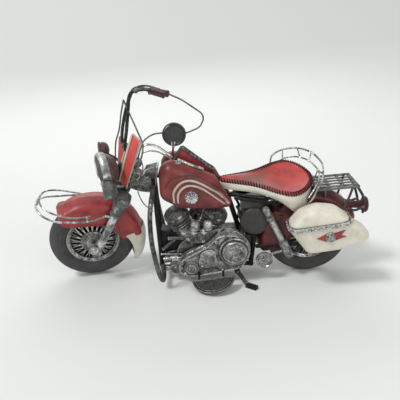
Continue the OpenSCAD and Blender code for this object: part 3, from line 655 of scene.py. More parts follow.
HEAD = Vector((-87.5, -1.5, 118))
bucket = Shape().lathe([(0.1, -13), (6, -12.8), (9.5, -11.5), (13.5, -7.5), (15.4, -3.6), (16.2, 0.4),
                        (15.2, 1)],
                       HEAD, (-1, 0, 0), 72)
bucket.piece("headlamp_bucket", "fork", M_LAMP, "brown_red_paint", BARS, ["headlamp"], 50)
ring = Shape().lathe([(15.6, -3.2), (16.8, -2.6), (17.2, -0.8), (16.9, 1.6), (16, 3.4), (14.9, 4),
                      (14.3, 3.2), (14.3, 0),
                      (15.6, -3.2)], HEAD, (-1, 0, 0), 96)
ring.piece("headlamp_ring", "fork", M_CHROME, "bright_silver", BARS, ["headlamp_lens"], 50)

LENS_R = 14.2
lens = Shape()
for k in range(-6, 7):
    y = k * 2.2
    half = math.sqrt(LENS_R ** 2 - y * y)
    lens.tube([HEAD + Vector((-1.6 - 2.6 * (1 - (y * y + z * z) / 207), y, z))
               for z in (half * (-1 + 2 * i / 14) for i in range(15))], 0.75, 6, 1)
lens.lathe([(0.1, 3.2), (5, 3.0), (10, 2.2), (14.4, 0.9), (14.4, 0.2), (0.1, 0.2)], HEAD, (-1, 0, 0), 64)
lens.piece("headlamp_ribs", "fork", M_LENS, "bright_silver", BARS, crisp=40)

for label, at, r, paint, arm in (
        ("near", (-88, -27, 108), 8.5, M_SHROUD, [(-79, -22, 108), (-74, -21, 107), (-71, -19.5, 106)]),
        ("far", (-88, 27, 122.5), 7.5, M_LAMP, [(-80, 22, 119), (-74, 21, 115), (-69, 19.5, 110)])):
    lamps = Shape()
    dome = [(0.1, -r * 1.02)] + [(r * math.sin(a), -r * 0.3 - r * 0.72 * math.cos(a)) for a in
                                  (math.radians(8 + 82 * i / 10) for i in range(11))]
    lamps.lathe(dome + [(r, 0.4), (r * 1.06, 0.9), (r * 1.06, 2.2), (r * 0.9, 2.8), (r * 0.5, 3.2),
                        (0.1, 3.3)],
                (at[0] + 2, at[1], at[2]), (-1, 0, 0), 56)
    lamps.tube(arm, 1.5, 10)
    lamps.piece(f"passing_lamp_{label}", "fork", paint, "brown_red_paint", FORK,
                ["passing_lamps"] if label == "near" else [], 50)

SCREEN_NEAR = [(-76, -1.5, 98), (-70, -12, 104), (-62, -21, 124), (-56.5, -24, 147), (-59, -19, 161),
               (-62, -9, 174),
               (-63, 0, 181)]
SCREEN_FAR = [(-76, -1.5, 98), (-73.5, 12, 100), (-69, 25, 109.7), (-67, 25, 128), (-65, 15, 147),
              (-64, 8, 165),
              (-63, 0, 181)]
PANEL_NEAR = [(-73.2, -2.2, 104), (-70.5, -12, 101.3), (-57.3, -22, 152.6), (-60.5, -12, 154.6)]
PANEL_FAR = [(-73.2, 2.2, 104), (-72.4, 10, 97), (-64, 20, 136.6), (-63.2, 5, 129)]
wires = Shape()
for line in (SCREEN_NEAR, SCREEN_FAR):
    wires.tube(line, 0.72, 10)
wires.piece("screen_wire", "fork", M_BLACK, "aged_silver", BARS, ["screen_frame"])
panels, trims, edging, ribs = Shape(), Shape(), Shape(), Shape()
for corners in (PANEL_NEAR, PANEL_FAR):
    a, b, c, d = (Vector(q) for q in corners)
    normal = (b - a).cross(d - a).normalized()
    rows = []
    for i in range(17):
        t = i / 16
        row = []
        for k in range(9):
            u = k / 8
            q = (a * (1 - u) + b * u) * (1 - t) + (d * (1 - u) + c * u) * t
            row.append(q + normal * (0.9 * math.sin(math.pi * u) + 0.5 * math.sin(math.pi * t)))
        rows.append(row)
    panels.grid(rows)
    trims.tube([a, b, c, d, a], 0.95, 8, 0, 0.8)
    rib = Vector((-1.7, -0.8, 0.0))
    ribs.tube([a + rib * 0.4, (a * 2 + d) / 3 + rib * 0.9, (a + d * 2) / 3 + rib, d + rib * 0.8], 0.95, 10,
              5)
panels.piece("screen_panel_faces", "fork", M_CORAL, "coral_paint", BARS, ["screen_panels"], 60, thick=1.3)
trims.piece("screen_trim", "fork", M_STRIPE, "cream_paint", BARS, crisp=50)
ribs.piece("screen_ribs", "fork", M_CREAM, "cream_paint", BARS, crisp=50)
for x, z, r in ((-57.5, 119, 4.6), (-60.5, 112, 3.8)):
    edging.tube([(x + r * math.cos(w), -9 + 1.5 * math.sin(2 * w), z + 1.5 * r * math.sin(w))
                 for w in (math.tau * k / 14 for k in range(15))], 0.6, 8, 2)
edging.piece("screen_edging", "fork", M_RAIL, "aged_silver", BARS, crisp=50)

BAR_SIDE = [(-64.4, -1, 136.4), (-66.5, -4.5, 141), (-64.3, -6.5, 157.3), (-62, -7.5, 175.3),
            (-60.3, -8, 186.4),
            (-56.6, -8.5, 191), (-47.2, -8.5, 191.2), (-40, -8.5, 189)]
BAR_FAR = [(-64.4, 1, 136.4), (-66.3, 4, 141), (-64.3, 6, 152.4), (-60, 7, 167.4), (-55.9, 7.5, 177.5),
           (-51.2, 8, 185.1), (-44.3, 8.5, 185.1), (-37.3, 8.5, 181.7)]
bars = Shape()
bars.tube(BAR_SIDE, 1.5, 16)
bars.tube(BAR_FAR, 1.45, 16)
bars.tube([(-56.8, 0, 117.6), (-60, 0, 127), (-64.4, 0, 136.4)], lambda t: 3 - t, 16)
bars.lathe([(0.1, -4.6), (2.6, -4.6), (3.1, -4), (3.1, -1.5), (2.5, -1), (2.5, 1), (3.1, 1.5), (3.1, 4),
            (2.6, 4.6),
            (0.1, 4.6)], (-64.4, 0, 136.4), (0, 1, 0), 24)
for lever in ([(-54, -8.5, 191.4), (-50, -12, 193.5), (-41, -13.5, 192), (-31, -13.5, 187.5)],
              [(-49.2, 8.5, 183.2), (-45.2, 12, 185.3), (-36.2, 13.5, 183.8), (-26.2, 13.5, 179.3)]):
    bars.tube(lever, lambda t: 1.0 - 0.25 * t, 10)
    bars.ball(lever[0], 2.1)
    bars.ball(lever[-1], 1.1)
bars.piece("handlebar_tube", "fork", M_BLACK, "black_paint", BARS, ["handlebar"])
grips = Shape()
for a, b in (((-42.1, -8.5, 189.7), (-26.2, -8.5, 183.6)), ((-37.3, 8.5, 181.5), (-23.1, 8.5, 174.8))):
    a, b = Vector(a), Vector(b)
    length = (b - a).length
    prof = [(0.1, 0), (2.2, 0), (3.1, 0.5), (3.1, 1.6)]
    prof += [(2.55 + 0.22 * math.cos(i * math.pi), 2 + i * (length - 4) / 22) for i in range(23)]
    prof += [(3.0, length - 1.4), (2.9, length - 0.4), (2, length), (0.1, length)]
    grips.lathe(prof, a, b - a, 32)
grips.piece("grip_sleeves", "fork", M_GRIP, "brown_red_paint", BARS, ["grips"], 50)

rails = Shape()
RAIL_LOW = [(-90, 18, 76), (-102, 22, 75), (-116, 25, 78), (-132, 24, 80), (-144, 18, 84), (-150, 8, 87),
            (-151, 0, 88)]
RAIL_HIGH = [(-104, 20, 79), (-118, 24, 82), (-132, 23, 87), (-142, 17, 91), (-146, 8, 92.5), (-147, 0, 93)]
for line, r in ((RAIL_LOW, 0.95), (RAIL_HIGH, 0.85)):
    rails.tube([(x, -y, z) for x, y, z in line] + line[-2::-1], r, 10)
for k in range(5):
    z = 87.2 + 1.7 * k
    rails.lathe([(1.7, -0.5), (2.1, 0), (1.7, 0.5)], (-150.4 + 0.9 * k, 0, z), (-0.45, 0, 1), 16)
for side in (-1, 1):
    rails.tube([(-90, 18 * side, 76), (-87, 19 * side, 75.4), (-84, 19.5 * side, 75)], 1.3, 10)
    rails.tube([(-107, 22.2 * side, 75.6), (-106.6, 21.8 * side, 77.4), (-106, 20.8 * side, 79.2)], 1.5, 10)
rails.piece("fender_rail_wires", "fork", M_RAIL, "black_paint", FORK, ["fender_rails"])

# ---------- control cable: one wire, split behind the mirror; both halves blend from bars to tank ----------
CABLE = [(-22.8, -9.8, 181.7), (-12.5, -8, 176.6), (-2.7, -5, 169.3), (5.2, -2, 162.5), (6.8, 0, 157.5),
         (5.6, 1.8, 153.5), (2.8, 3, 149), (-5.5, 3, 145.2), (-11, 3, 143.9), (-21, 3, 144.2),
         (-31.7, 3, 144.5),
         (-38.8, 1, 143.9), (-44, -2, 141.7), (-47.6, -4, 138.6), (-50, -7, 133), (-52, -9, 127),
         (-53, -10, 120.5)]
CLIP = 9


def cable_half(name, points, nodes=()):
    o = Shape().tube(points, 0.72, 12, 8).piece(name, "fork", M_BLACK, "black_paint", BIKE, nodes)
    world = o.matrix_world.copy()
    o.parent = None
    o.matrix_world = world
    del o["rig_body"]
    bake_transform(o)


cable_half("throttle_cable_upper", CABLE[:CLIP + 1], ["throttle_cable"])
cable_half("throttle_cable_lower", CABLE[CLIP:])

# ---------- tank ----------
BELLY_TOP, BELLY_BLEND, BELLY_DROP = 98, 18, 2.2


def full_belly(q):
    """Lowers the tank's lower part a little, more and more from BELLY_TOP down."""
    q.z -= BELLY_DROP * max(0, min((BELLY_TOP - q.z) / BELLY_BLEND, 1))
    return q


tank_pieces = [reskinned(name, f"{name}_shell", M_TANK, 0.0009, 14, full_belly)
               for name in ("tank_left", "tank_right")]
bpy.context.view_layer.update()


def tank_skin():
    """The left tank half's finished surface, for laying the stripes on."""
    shell = tank_pieces[0].evaluated_get(bpy.context.evaluated_depsgraph_get())
    inverse = BIKE.inverted() @ shell.matrix_world
    mesh = shell.to_mesh()
    tree = BVHTree.FromPolygons([inverse @ v.co for v in mesh.vertices],
                                [list(p.vertices) for p in mesh.polygons])
    shell.to_mesh_clear()
    return tree


SKIN = tank_skin()


def on_tank(x, z, proud=0.15):
    hit, normal, _, _ = SKIN.ray_cast(Vector((x, -60, z)), Vector((0, 1, 0)))
    if hit is None:
        hit, normal, _, _ = SKIN.find_nearest(Vector((x, -24, z)))
    if normal.y > 0:
        normal = -normal
    return hit + normal * proud


def ribbon(line, width, proud=0.18, n=10):
    """A flat band that follows a side-view line over the tank."""
    p = smooth([(x, 0, z) for x, z in line], n)
    rows = []
    for i, q in enumerate(p):
        t = (p[min(i + 1, len(p) - 1)] - p[max(i - 1, 0)]).normalized()
        side = Vector((-t.z, 0, t.x))
        rows.append([on_tank(*(q + side * (width * k / 4)).xz, proud if abs(k) < 2 else 0.02)
                     for k in range(-2, 3)])
    return rows


STRIPE_OUTER = [(-21.5, 86.3), (-21.4, 96.8), (-15.5, 105.4), (-7.3, 108.0), (3.8, 104.3), (18.6, 93.7),
                (28.6, 80.5)]
STRIPE_INNER = [(-17.4, 86.4), (-17.3, 94.7), (-12.5, 101.4), (-4.5, 103.0), (7.0, 97.5), (24.6, 80.8)]
SEAM = [(-29.1, 100.9), (-23.5, 109.6), (-15.0, 112.3), (-2.6, 111.5), (10.5, 105.1), (22.1, 94.8),
        (30.2, 84.5)]
for label, line, width in (("outer", STRIPE_OUTER, 2.1), ("inner", STRIPE_INNER, 1.9)):
    Shape().grid(ribbon(line, width)).mirrored().piece(f"tank_stripe_{label}", "chassis", M_STRIPE,
                                                       "cream_paint")
for k, line in enumerate((SEAM, [(x - 0.9, z + 1.7) for x, z in STRIPE_OUTER],
                          [(x + 1.0, z - 1.9) for x, z in STRIPE_INNER])):
    pts = [on_tank(q.x, q.z, 0.05) for q in smooth([(a, 0, b) for a, b in line], 5)]
    Shape().tube(pts, 0.45 if k == 0 else 0.3, 8, 0).mirrored().piece(f"tank_line_{k}", "chassis", M_MAROON,
                                                                       "dark_red_paint")
badge_at = on_tank(-5.7, 91.8, 0)
badge = Shape()
out = Vector((0.0, -1, 0.12))
badge.lathe([(0.1, 2.2), (1.2, 2.1), (2, 1.5), (4.4, 1.3), (5.4, 1.6), (6, 1.1), (6.2, 0), (6, -1),
             (0.1, -1)], badge_at,
            out, 60, lambda w, r, h: r * (1 + 0.05 * math.cos(12 * w)) if r > 3 else r)
for k in range(12):
    w = math.tau * k / 12
    a = badge_at + out * 1.5 + Vector((2 * math.cos(w), 0, 2 * math.sin(w)))
    badge.tube([a, a + Vector((2.8 * math.cos(w), 0, 2.8 * math.sin(w)))], 0.45, 6, 0, 0.6)
badge.mirrored().piece("tank_badge_rosettes", "chassis", M_BRIGHT, "bright_silver", BIKE, ["tank_badges"],
                       40)

console = Shape()
console.slab([(-20, 121.5), (-14, 130.5), (-10, 128.5), (16, 108.5), (16, 101), (-8, 112), (-25, 112),
              (-25, 119.5)],
             -3.2, 3.2)
console.piece("console_body", "chassis", M_RED, "dark_red_paint", BIKE, ["tank_console"], 30, bevel=0.5)
strips = Shape()
for y in (-3.4, 3.4):
    strips.tube([(-20, y, 122), (-14, y, 131), (-10, y, 129.2), (3, y, 119), (16, y, 109.2)], 1.0, 8, 2)
for k in range(9):
    t = k / 8
    strips.tube([(-12 + 27 * t, -3.2, 130.4 - 20.6 * t), (-12 + 27 * t, 3.2, 130.4 - 20.6 * t)], 0.8, 8, 0)
strips.piece("console_gate", "chassis", M_BLACK, "aged_silver")
chain, strands = Shape(), ([], [])
for k, q in enumerate(smooth([(-17, -10, 0), (-14, -11, 0), (-9.3, -12.2, 0), (-2.7, -12.4, 0),
                              (5, -11, 0)], 16)):
    top, normal, _, _ = SKIN.ray_cast(Vector((q.x, q.y, 160)), Vector((0, 0, -1)))
    for turn, strand in zip((0, math.pi), strands):
        a = 0.8 * k + turn
        strand.append(top + normal * 0.9 + Vector((0, 0.75 * math.cos(a), 0.75 * math.sin(a))))
for strand in strands:
    chain.tube(strand, 0.85, 8, 0)
chain.piece("tank_chain", "chassis", M_BRIGHT, "bright_silver")
caps = Shape()
for y in (-14, 14):
    caps.lathe([(0.1, -3), (3.3, -3), (3.4, 1.2), (4.0, 1.7), (4.0, 2.5), (3.2, 3.1), (2, 3.3), (1.6, 4.2),
                (0.1, 4.5)],
               (-18, y, 119.5), (0, 0, 1), 40, lambda w, r,
               h: r * (1 + 0.06 * math.cos(14 * w)) if r > 3.8 else r)
caps.piece("fuel_cap_domes", "chassis", M_CHROME, "bright_silver", BIKE, ["fuel_caps"], 40)

# ---------- round mirror on its stalk, and the two curved wires behind the bars ----------
DISC = Vector((-19.8, 0, 143.8))
mirror = Shape().lathe([(0.1, 0.6), (8.6, 0.5), (9.0, 0.9), (9.4, 1.7), (10.4, 1.8), (10.8, 1.0),
                        (10.8, -0.6),
                        (10.2, -1.2), (6, -1.5), (0.1, -1.6)], DISC, (0, -1, 0), 80)
mirror.piece("mirror_disc", "chassis", M_DISC, "black_paint", BIKE, ["round_mirror"], 40)
# The bright crescent on the rim's upper left is a painted highlight; the prongs and the bar behind the disc
# are the real clip.
glint_arc = [DISC + Vector((9.4 * math.cos(math.radians(a)), -1.75, 9.4 * math.sin(math.radians(a))))
       for a in range(112, 158, 6)]
clip_and_glint = Shape().tube(glint_arc, lambda t: 0.5 * math.sin(math.pi * min(max(t, 0.06), 0.94)), 8, 0)
for dx in (-1.6, 0.9):
    clip_and_glint.tube([DISC + Vector((dx * 0.4 - 1, -1.0, -11)), DISC + Vector((dx - 0.8, -1.9, -8.6)),
               DISC + Vector((dx - 0.6, -1.7, -6.2))], lambda t: 0.8 - 0.3 * t, 8, 4)
clip_and_glint.tube([DISC + Vector((-3.4, 2.2, 0.3)), DISC + Vector((0, 2.2, 0.3)), DISC + Vector((3.4, 2.2, 0.3))],
          1.2, 8, 2)
clip_and_glint.piece("mirror_clip_and_glint", "chassis", M_BRIGHT, "bright_silver")
Shape().tube([(-22.6, 0, 118), (-22, 0, 126), (-20.8, 0, 134.5)], 0.95, 10).piece("mirror_stalk", "chassis",
        M_STALK,
                                                                            "dark_red_paint")
wires = Shape()
wires.tube([(-49, -4, 134), (-44, -4, 136), (-36, -3, 134), (-28, -2, 128), (-22.5, -2, 123)], 1.25, 10, 8,
           0.6)
wires.tube([(-51, 2, 126), (-44, 3, 128), (-36, 3, 127), (-29, 3, 123), (-23.5, 2.5, 119)], 0.8, 10)
wires.piece("dash_wires", "chassis", M_DARKSILVER, "black_paint", BIKE, ["tank_wires"])

# ---------- saddle ----------
AT_SEAT = Matrix.Translation((0, 0, 99.5)) @ Matrix.Rotation(math.radians(14), 4, "X")
UP = Vector((0, 0, 1))
SEAT = [(21, 1), (22, 3.0), (30, 5.4), (40, 8.0), (50, 11), (60, 16), (70, 22.5), (80, 27.0), (88, 27.3),
        (96, 22.5),
        (102, 14.5), (105.5, 7), (106.4, 1)]
seat_line = [(q.x, max(q.y, 0.6)) for q in smooth([(x, w, 0) for x, w in SEAT], 5)]


def seat_ring(x, w):
    """The saddle cut across at x: a dished top, a rolled rim and a hollowed underside."""
    dish = 5.2 * max(0, min((x - 46) / 34, 1)) * max(0, min((108 - x) / 16, 1)) - 1.6 * max(0,
            min((60 - x) / 25, 1))
    flat, ring = max(w - 1.8, 0.15), []
    for k in range(-10, 11):
        s = k / 10
        ring.append((s * flat, 1.7 - dish * (1 - s * s) ** 0.8))
    ring += [(flat + 1.8 * math.sin(a), 1.7 * math.cos(a))
             for a in (math.radians(22.5 * k) for k in range(1, 8))]
    ring += [(flat * s, -1.7 - max(dish, 0) * 0.9 * (1 - s * s)) for s in (1, 0.6, 0.2, -0.2, -0.6, -1)]
    ring += [(-flat - 1.8 * math.sin(a), 1.7 * math.cos(a))
             for a in (math.radians(22.5 * k) for k in range(7, 0, -1))]
    return [AT_SEAT @ Vector((x, y, z)) for y, z in ring]


cushion = Shape().grid([seat_ring(x, w) for x, w in seat_line], closed=True, caps=True)
seat = cushion.piece("saddle_cushion", "chassis", M_SADDLE, "coral_paint", BIKE, ["seat_cushion"], 70)
rim_line = [Vector((x, -w, 0)) for x, w in seat_line] + [Vector((x, w, 0)) for x, w in seat_line[::-1]]
dense = []
for a, b in zip(rim_line, rim_line[1:]):
    n = max(int((b - a).length / 0.4), 1)
    dense += [a + (b - a) * (i / n) for i in range(n)]
lace, walked = Shape(), 0.0
for a, q, b in zip(dense, dense[1:], dense[2:]):
    walked += (q - a).length
    if walked < 2.3:
        continue
    walked = 0.0
    t = (b - a).normalized()
    out = t.cross(UP)
    stitch = ((-3.0, 1.5, -1.0), (-1.8, 2.1, -0.6), (-0.5, 1.9, 0.0), (0.35, 0.6, 0.5), (0.1, -0.8, 0.9),
              (-0.6, -1.6, 1.2))
    lace.tube([AT_SEAT @ (q + out * i + UP * j + t * k) for i, j, k in stitch], 0.5, 6, 2)
lace.piece("saddle_lacing", "chassis", M_BLACKPAINT, "black_paint")


def skirt_rows():
    """Cream valance under the saddle: shallow along the neck, a deep rounded flap at the wide part."""
    line = []
    for q in rim_line:
        depth = 6.0 + 12.5 * math.exp(-((q.x - 93) / 13) ** 2)
        line.append((AT_SEAT @ Vector((q.x - (0.8 if q.x > 100 else 0), q.y * 0.97, -1.2)), depth))
    return [[Vector((q.x, q.y * (1 - 0.10 * s * s + 0.05 * math.sin(s * math.pi)), q.z - depth * s)) for q,
             depth in line]
            for s in (k / 7 for k in range(8))]


grid = skirt_rows()
Shape().grid(grid).piece("saddle_skirt", "chassis", M_CREAM, "cream_paint", BIKE, ["seat_skirt"], 60,
                         thick=1.0)
Shape().tube(grid[-1][::2], 0.6, 8, 2).piece("saddle_skirt_hem", "chassis", M_CREAM, "cream_paint")

RAIL_OUTER = [(98, -23, 80), (103, -23, 87), (107.5, -19.5, 94), (112, -14, 98), (115, -8, 101.5),
              (117, 0, 104),
              (118, 6, 107), (117, 13, 110.6), (110, 23, 116), (98, 30.5, 118.2),
              (84, 31, 116.8), (74.5, 30, 112.3), (72, 29.5, 105.5), (72, 27, 97)]
RAIL_INNER = [(76, 29, 98), (78, 30, 102), (84, 30.2, 107.4), (93, 30, 109.5), (101, 28.5, 109.2),
              (108, 19, 108.4),
              (112, 0, 106), (111, -10, 100.5), (106, -17, 94.7), (100, -22, 88)]
rail = Shape()
rail.tube(RAIL_OUTER, 0.9, 10)
rail.tube(RAIL_INNER, 0.75, 10)
for a, b in (((106, 0, 88), (112, 0, 106)), ((112, 0, 106), (118, 0, 101)), ((72, 14, 90), (72, 29, 98)),
             ((76, 14, 90), (76, 29, 98)), ((100, -13, 84), (100, -22, 88)),
             ((84, 30.2, 107.4), (84, 31, 116.8)),
             ((101, 28.5, 109.2), (98, 30.5, 118.2)), ((108, 19, 108.4), (110, 23, 116))):
    rail.tube([a, b], 0.65, 8, 0)
for at in ((112, 0, 106), (110, 23, 116), (108, 19, 108.4)):
    rail.ball(at, 1.3, n=6)
rail.piece("grab_rail_wires", "chassis", M_RAIL, "aged_silver", BIKE, ["grab_rail"])

# ---------- luggage rack and tail lamp ----------
RACK_W, RACK_FROM, RACK_L, RACK_TILT = 16, Vector((109, 0, 91.5)), 37.5, math.radians(4)


def on_rack(x, y, z):
    return RACK_FROM + Matrix.Rotation(-RACK_TILT, 3, "Y") @ Vector((x, y, z))


def plank(shape, x0, x1, y0, y1, z0=0.0, z1=1.6):
    """Flat strip of the rack with corners set on its slope."""
    return shape.add([on_rack(x, y, z) for z in (z0, z1) for x,
                      y in ((x0, y0), (x1, y0), (x1, y1), (x0, y1))],
                     [[0, 3, 2, 1], [4, 5, 6, 7], [0, 1, 5, 4], [1, 2, 6, 5], [2, 3, 7, 6], [3, 0, 4, 7]])


rack = Shape()
for k in range(6):
    y = -RACK_W + k * 2 * RACK_W / 5
    plank(rack, 0, RACK_L, y - 1.2, y + 1.2, 0.1, 1.3)
for x in (0, RACK_L * 0.33 - 1, RACK_L * 0.66 - 1, RACK_L - 2.4):
    plank(rack, x, x + 2.4, -RACK_W, RACK_W, 0.0, 1.6)
corners = [(0, -RACK_W), (RACK_L, -RACK_W), (RACK_L, RACK_W), (0, RACK_W), (0, -RACK_W)]
rack.tube([on_rack(x, y, 1.3) for x, y in corners], 1.0, 8, 0)
rack.piece("rack_plate", "chassis", M_BLACK, "aged_silver", BIKE, ["luggage_rack"], 30, bevel=0.25)
stays = Shape()
for side in (-1, 1):
    stays.tube([(118, 13 * side, 80), (117, 14 * side, 87), (116, 15 * side, 92)], 1.3, 10, 6, 0.6)
    stays.tube([(136, 13 * side, 74), (139, 14 * side, 84), (141, 15 * side, 94)], 1.7, 10, 6, 0.6)
    stays.tube([(146, 14 * side, 93.5), (152, 13 * side, 84), (155, 10 * side, 74), (156.3, 6 * side, 64)],
               1.25, 10)
    stays.tube([(139, 12 * side, 72), (147, 11 * side, 69), (155, 9.5 * side, 72)], 1.2, 10)
stays.tube([(156.3, -6.5, 66), (156.3, 6.5, 66)], 1.2, 10, 0)
stays.piece("rack_stays", "chassis", M_BLACK, "aged_silver")
lamp = Shape().lathe([(0.1, -6), (3.2, -6), (3.4, 0), (3.8, 6), (4.6, 8.6), (6.6, 9.4), (7.6, 10.4),
                      (7.8, 12), (7.1, 12.9),
                      (6.6, 12.4), (5, 13.1), (2.6, 13.5), (0.1, 13.6)], (148, 0, 70), (1, 0, 0), 56)
lamp.piece("tail_lamp_body", "chassis", M_MAROON, "brown_red_paint", BIKE, ["tail_lamp"], 40)

# ---------- saddlebags ----------
BAG_W, BAG_PITCH, SEAM_Z = 25.0, math.radians(8), 3.2
BAG_AT = Vector((80.5, -24.5 - BAG_W / 2, 64.3))
AT_BAG = BIKE @ Matrix.Translation(BAG_AT) @ Matrix.Rotation(-BAG_PITCH, 4, "Y")
OTHER_BAG = (BIKE @ MIRROR @ Matrix.Translation(BAG_AT)
             @ Matrix.Rotation(-BAG_PITCH, 4, "Y"))


def stadium(grow, n=14, x0=8.0, x1=45.0):
    """The bag's plan outline at its seam, going round from its inner front corner."""
    r = 8.0 + grow
    w = BAG_W / 2 - 8.0
    points = []
    for cx, cy, a0 in ((x1, w, 0), (x0, w, 90), (x0, -w, 180), (x1, -w, 270)):
        points += [(cx + r * math.cos(math.radians(a0 + 90 * k / n)),
                    cy + r * math.sin(math.radians(a0 + 90 * k / n)))
                   for k in range(n + 1)]
    return points


for side, space in (("left", AT_BAG), ("right", OTHER_BAG)):
    for node, tag in ((f"saddlebag_{side}", "body"), (f"saddlebag_lid_{side}", "lid")):
        reskinned(node, f"bag_{tag}_{side}", M_CREAM, 0.0010, 70 if tag == "lid" else 24)
    band = Shape()
    rows = []
    for h, g in ((-1.6, 0.1), (-1.5, 0.8), (1.7, 0.8), (1.9, 0.1)):
        rows.append([Vector((x, y, SEAM_Z + h)) for x, y in stadium(g)])
    band.grid(rows, closed=True)
    path = stadium(0.75, 30)
    total, run = [0.0], 0
    for a, b in zip(path, path[1:] + path[:1]):
        total.append(total[-1] + math.hypot(b[0] - a[0], b[1] - a[1]))
    step = 2.5
    for k in range(int(total[-1] / step)):
        s = k * step
        while total[run + 1] < s:
            run += 1
        a, b = path[run], path[(run + 1) % len(path)]
        f = (s - total[run]) / max(total[run + 1] - total[run], 1e-6)
        q = Vector((a[0] + (b[0] - a[0]) * f, a[1] + (b[1] - a[1]) * f,
                    SEAM_Z + (0.75 if k % 2 else -0.65)))
        band.ball(q, 0.78, (1.25, 1.25, 0.8), 4)
    for h in (-1.55, 1.8):
        band.tube([(x, y, SEAM_Z + h) for x, y in stadium(0.7)] + [(*stadium(0.7)[0], SEAM_Z + h)], 0.32, 6,
                  0)
    band.piece(f"bag_trim_{side}", "chassis", M_BRIGHT, "bright_silver", space,
               ["saddlebag_trim"] if side == "left" else [], 40)
    face_y, ez = -BAG_W / 2 - 0.35, -6.8
    dart = Shape()
    for outline in ([(21.5, ez + 0.3), (29.5, ez + 3.6), (29.5, ez - 3.8)],
                    [(36.5, ez + 3.6), (46.5, ez + 5.2), (42.2, ez + 0.6), (47, ez - 1.2),
                     (36.5, ez - 3.8)]):
        dart.slab(outline, face_y - 0.35, face_y + 1.2)
    dart.piece(f"bag_dart_{side}", "chassis", M_RED, "red_paint", space, bevel=0.15)
    oval = Shape().lathe([(0.1, 1.4), (1.6, 1.35), (3.2, 1.0), (3.4, 1.35), (4.1, 1.1), (4.3, 0), (4.2, -1),
                          (0.1, -1)],
                         (33, face_y, ez), (0, -1, 0), 40)
    for k in range(-2, 3):
        oval.tube([(33 + k * 1.1, face_y - 1.3, ez - 2.8), (33 + k * 1.2, face_y - 1.6, ez),
                   (33 + k * 1.1, face_y - 1.3, ez + 2.8)],
                  0.32, 6, 3)
    oval.v = [Vector((q.x, q.y, ez + (q.z - ez) * 1.18)) for q in oval.v]
    oval.piece(f"bag_oval_{side}", "chassis", M_BRIGHT, "bright_silver", space, crisp=50)

# ---------- engine ----------
CRANK, V_ANGLE = Vector((-3, 0, 27)), math.radians(27)
for name, way in (("cylinder_front", -1), ("cylinder_rear", 1)):
    up = Matrix.Rotation(way * V_ANGLE, 3, "Y") @ Vector((0, 0, 1))
    barrel = Shape()
    profile = [(0.1, 15), (8.2, 15)]
    for k in range(7):
        h = 17.5 + 2.6 * k
        profile += [(8.2, h), (11.0, h + 0.3), (11.3, h + 0.7), (11.0, h + 1.1), (8.4, h + 1.4)]
    profile += [(8.6, 36), (12, 36.4), (12.4, 37.4), (12.4, 39), (11.6, 39.6), (11.6, 40.2), (12.3, 40.8),
                (12.2, 43.4),
                (11.2, 46.2), (8.6, 48.6), (4, 49.6), (0.1, 49.8)]
    barrel.lathe(profile, CRANK, up, 72)
    for w in (-55, -20, 20, 55):
        a = math.radians(w - 90)
        side = Vector((math.cos(a), math.sin(a), 0))
        q = CRANK + Matrix.Rotation(way * V_ANGLE, 3, "Y") @ (side * 10.8 + Vector((0, 0, 41)))
        barrel.lathe([(0.1, 1.2), (1.1, 1.1), (1.5, 0.4), (1.5, -1), (0.1, -1)], q,
                     Matrix.Rotation(way * V_ANGLE, 3, "Y") @ side, 12)
    barrel.tube([CRANK + up * 30 + Vector((way * -8.5, -7.2, -2)),
                 CRANK + up * 18 + Vector((way * -9.5, -9.5, 0)),
                 CRANK + up * 10 + Vector((way * -7, -13, 3))], 1.5, 10)
    barrel.piece(f"{name}_barrel", "chassis", M_DARKSILVER, "aged_silver", BIKE, [name], 40)
domes = Shape()
for x in (-3.5, 8.7):
    domes.lathe([(0.1, -8), (2.6, -8), (2.6, -5), (4.3, -4.4), (4.4, -3.2), (3.7, -2.8), (4.3, -1),
                 (4.4, 0.8), (3.9, 2.6),
                 (2.7, 3.9), (1.2, 4.5), (0.1, 4.9)], (x, -15.5, 60), (0, -0.08, 1), 40)
domes.piece("acorn_domes", "chassis", M_CHROME, "bright_silver", BIKE, ["chrome_domes"], 40)
plate = Shape()
PLATE = [(-19, 56), (-16.5, 50), (-9, 42), (-3, 41.4), (9, 41.8), (13, 42.2), (20.5, 47.5), (23, 57),
         (15, 55.5), (7, 53.5),
         (-5, 53.5), (-12, 55)]
plate.slab(PLATE, -18.4, -13.2, -17.4, 0.05)
for x, z in ((-10.5, 46), (4, 43.6), (16, 46.5), (19, 54)):
    plate.lathe([(0.1, 1.4), (0.7, 1.2), (1.2, 1.5), (1.5, 0.8), (1.5, -1), (0.1, -1)], (x, -18.4, z),
                (0, -1, 0), 16)
for x in (-14.5, -5, 4.5):
    plate.ball((x, -15.6, 53), 2.6, (1, 0.9, 0.9), 8)
plate.piece("side_plate_cast", "chassis", M_DARKSILVER, "aged_silver", BIKE, ["side_plate"], 30, bevel=0.5)

COVER = [(-8, 9.2), (-16, 10.6), (-20.6, 13.6), (-21.8, 18), (-20.6, 23), (-16.5, 29), (-3, 36.8), (8, 43),
         (14, 49.4),
         (19.5, 53.6), (27, 55), (35.4, 54), (41.5, 48.6), (46.2, 43), (48.2, 36), (47, 28.5), (43, 21.6),
         (37, 17.2),
         (24, 14), (8, 11)]


def rounded(outline, n=4):
    """A closed outline with its corners run into curves."""
    p = [Vector((x, 0, z)) for x, z in outline]
    m = len(p)
    line = smooth([p[-2], p[-1]] + p + [p[0], p[1]], n)
    return [(q.x, q.z) for q in line[2 * n:2 * n + m * n]]


def scaled(outline, k):
    cx = sum(q[0] for q in outline) / len(outline)
    cz = sum(q[1] for q in outline) / len(outline)
    return [(cx + (x - cx) * k, cz + (z - cz) * k) for x, z in outline]


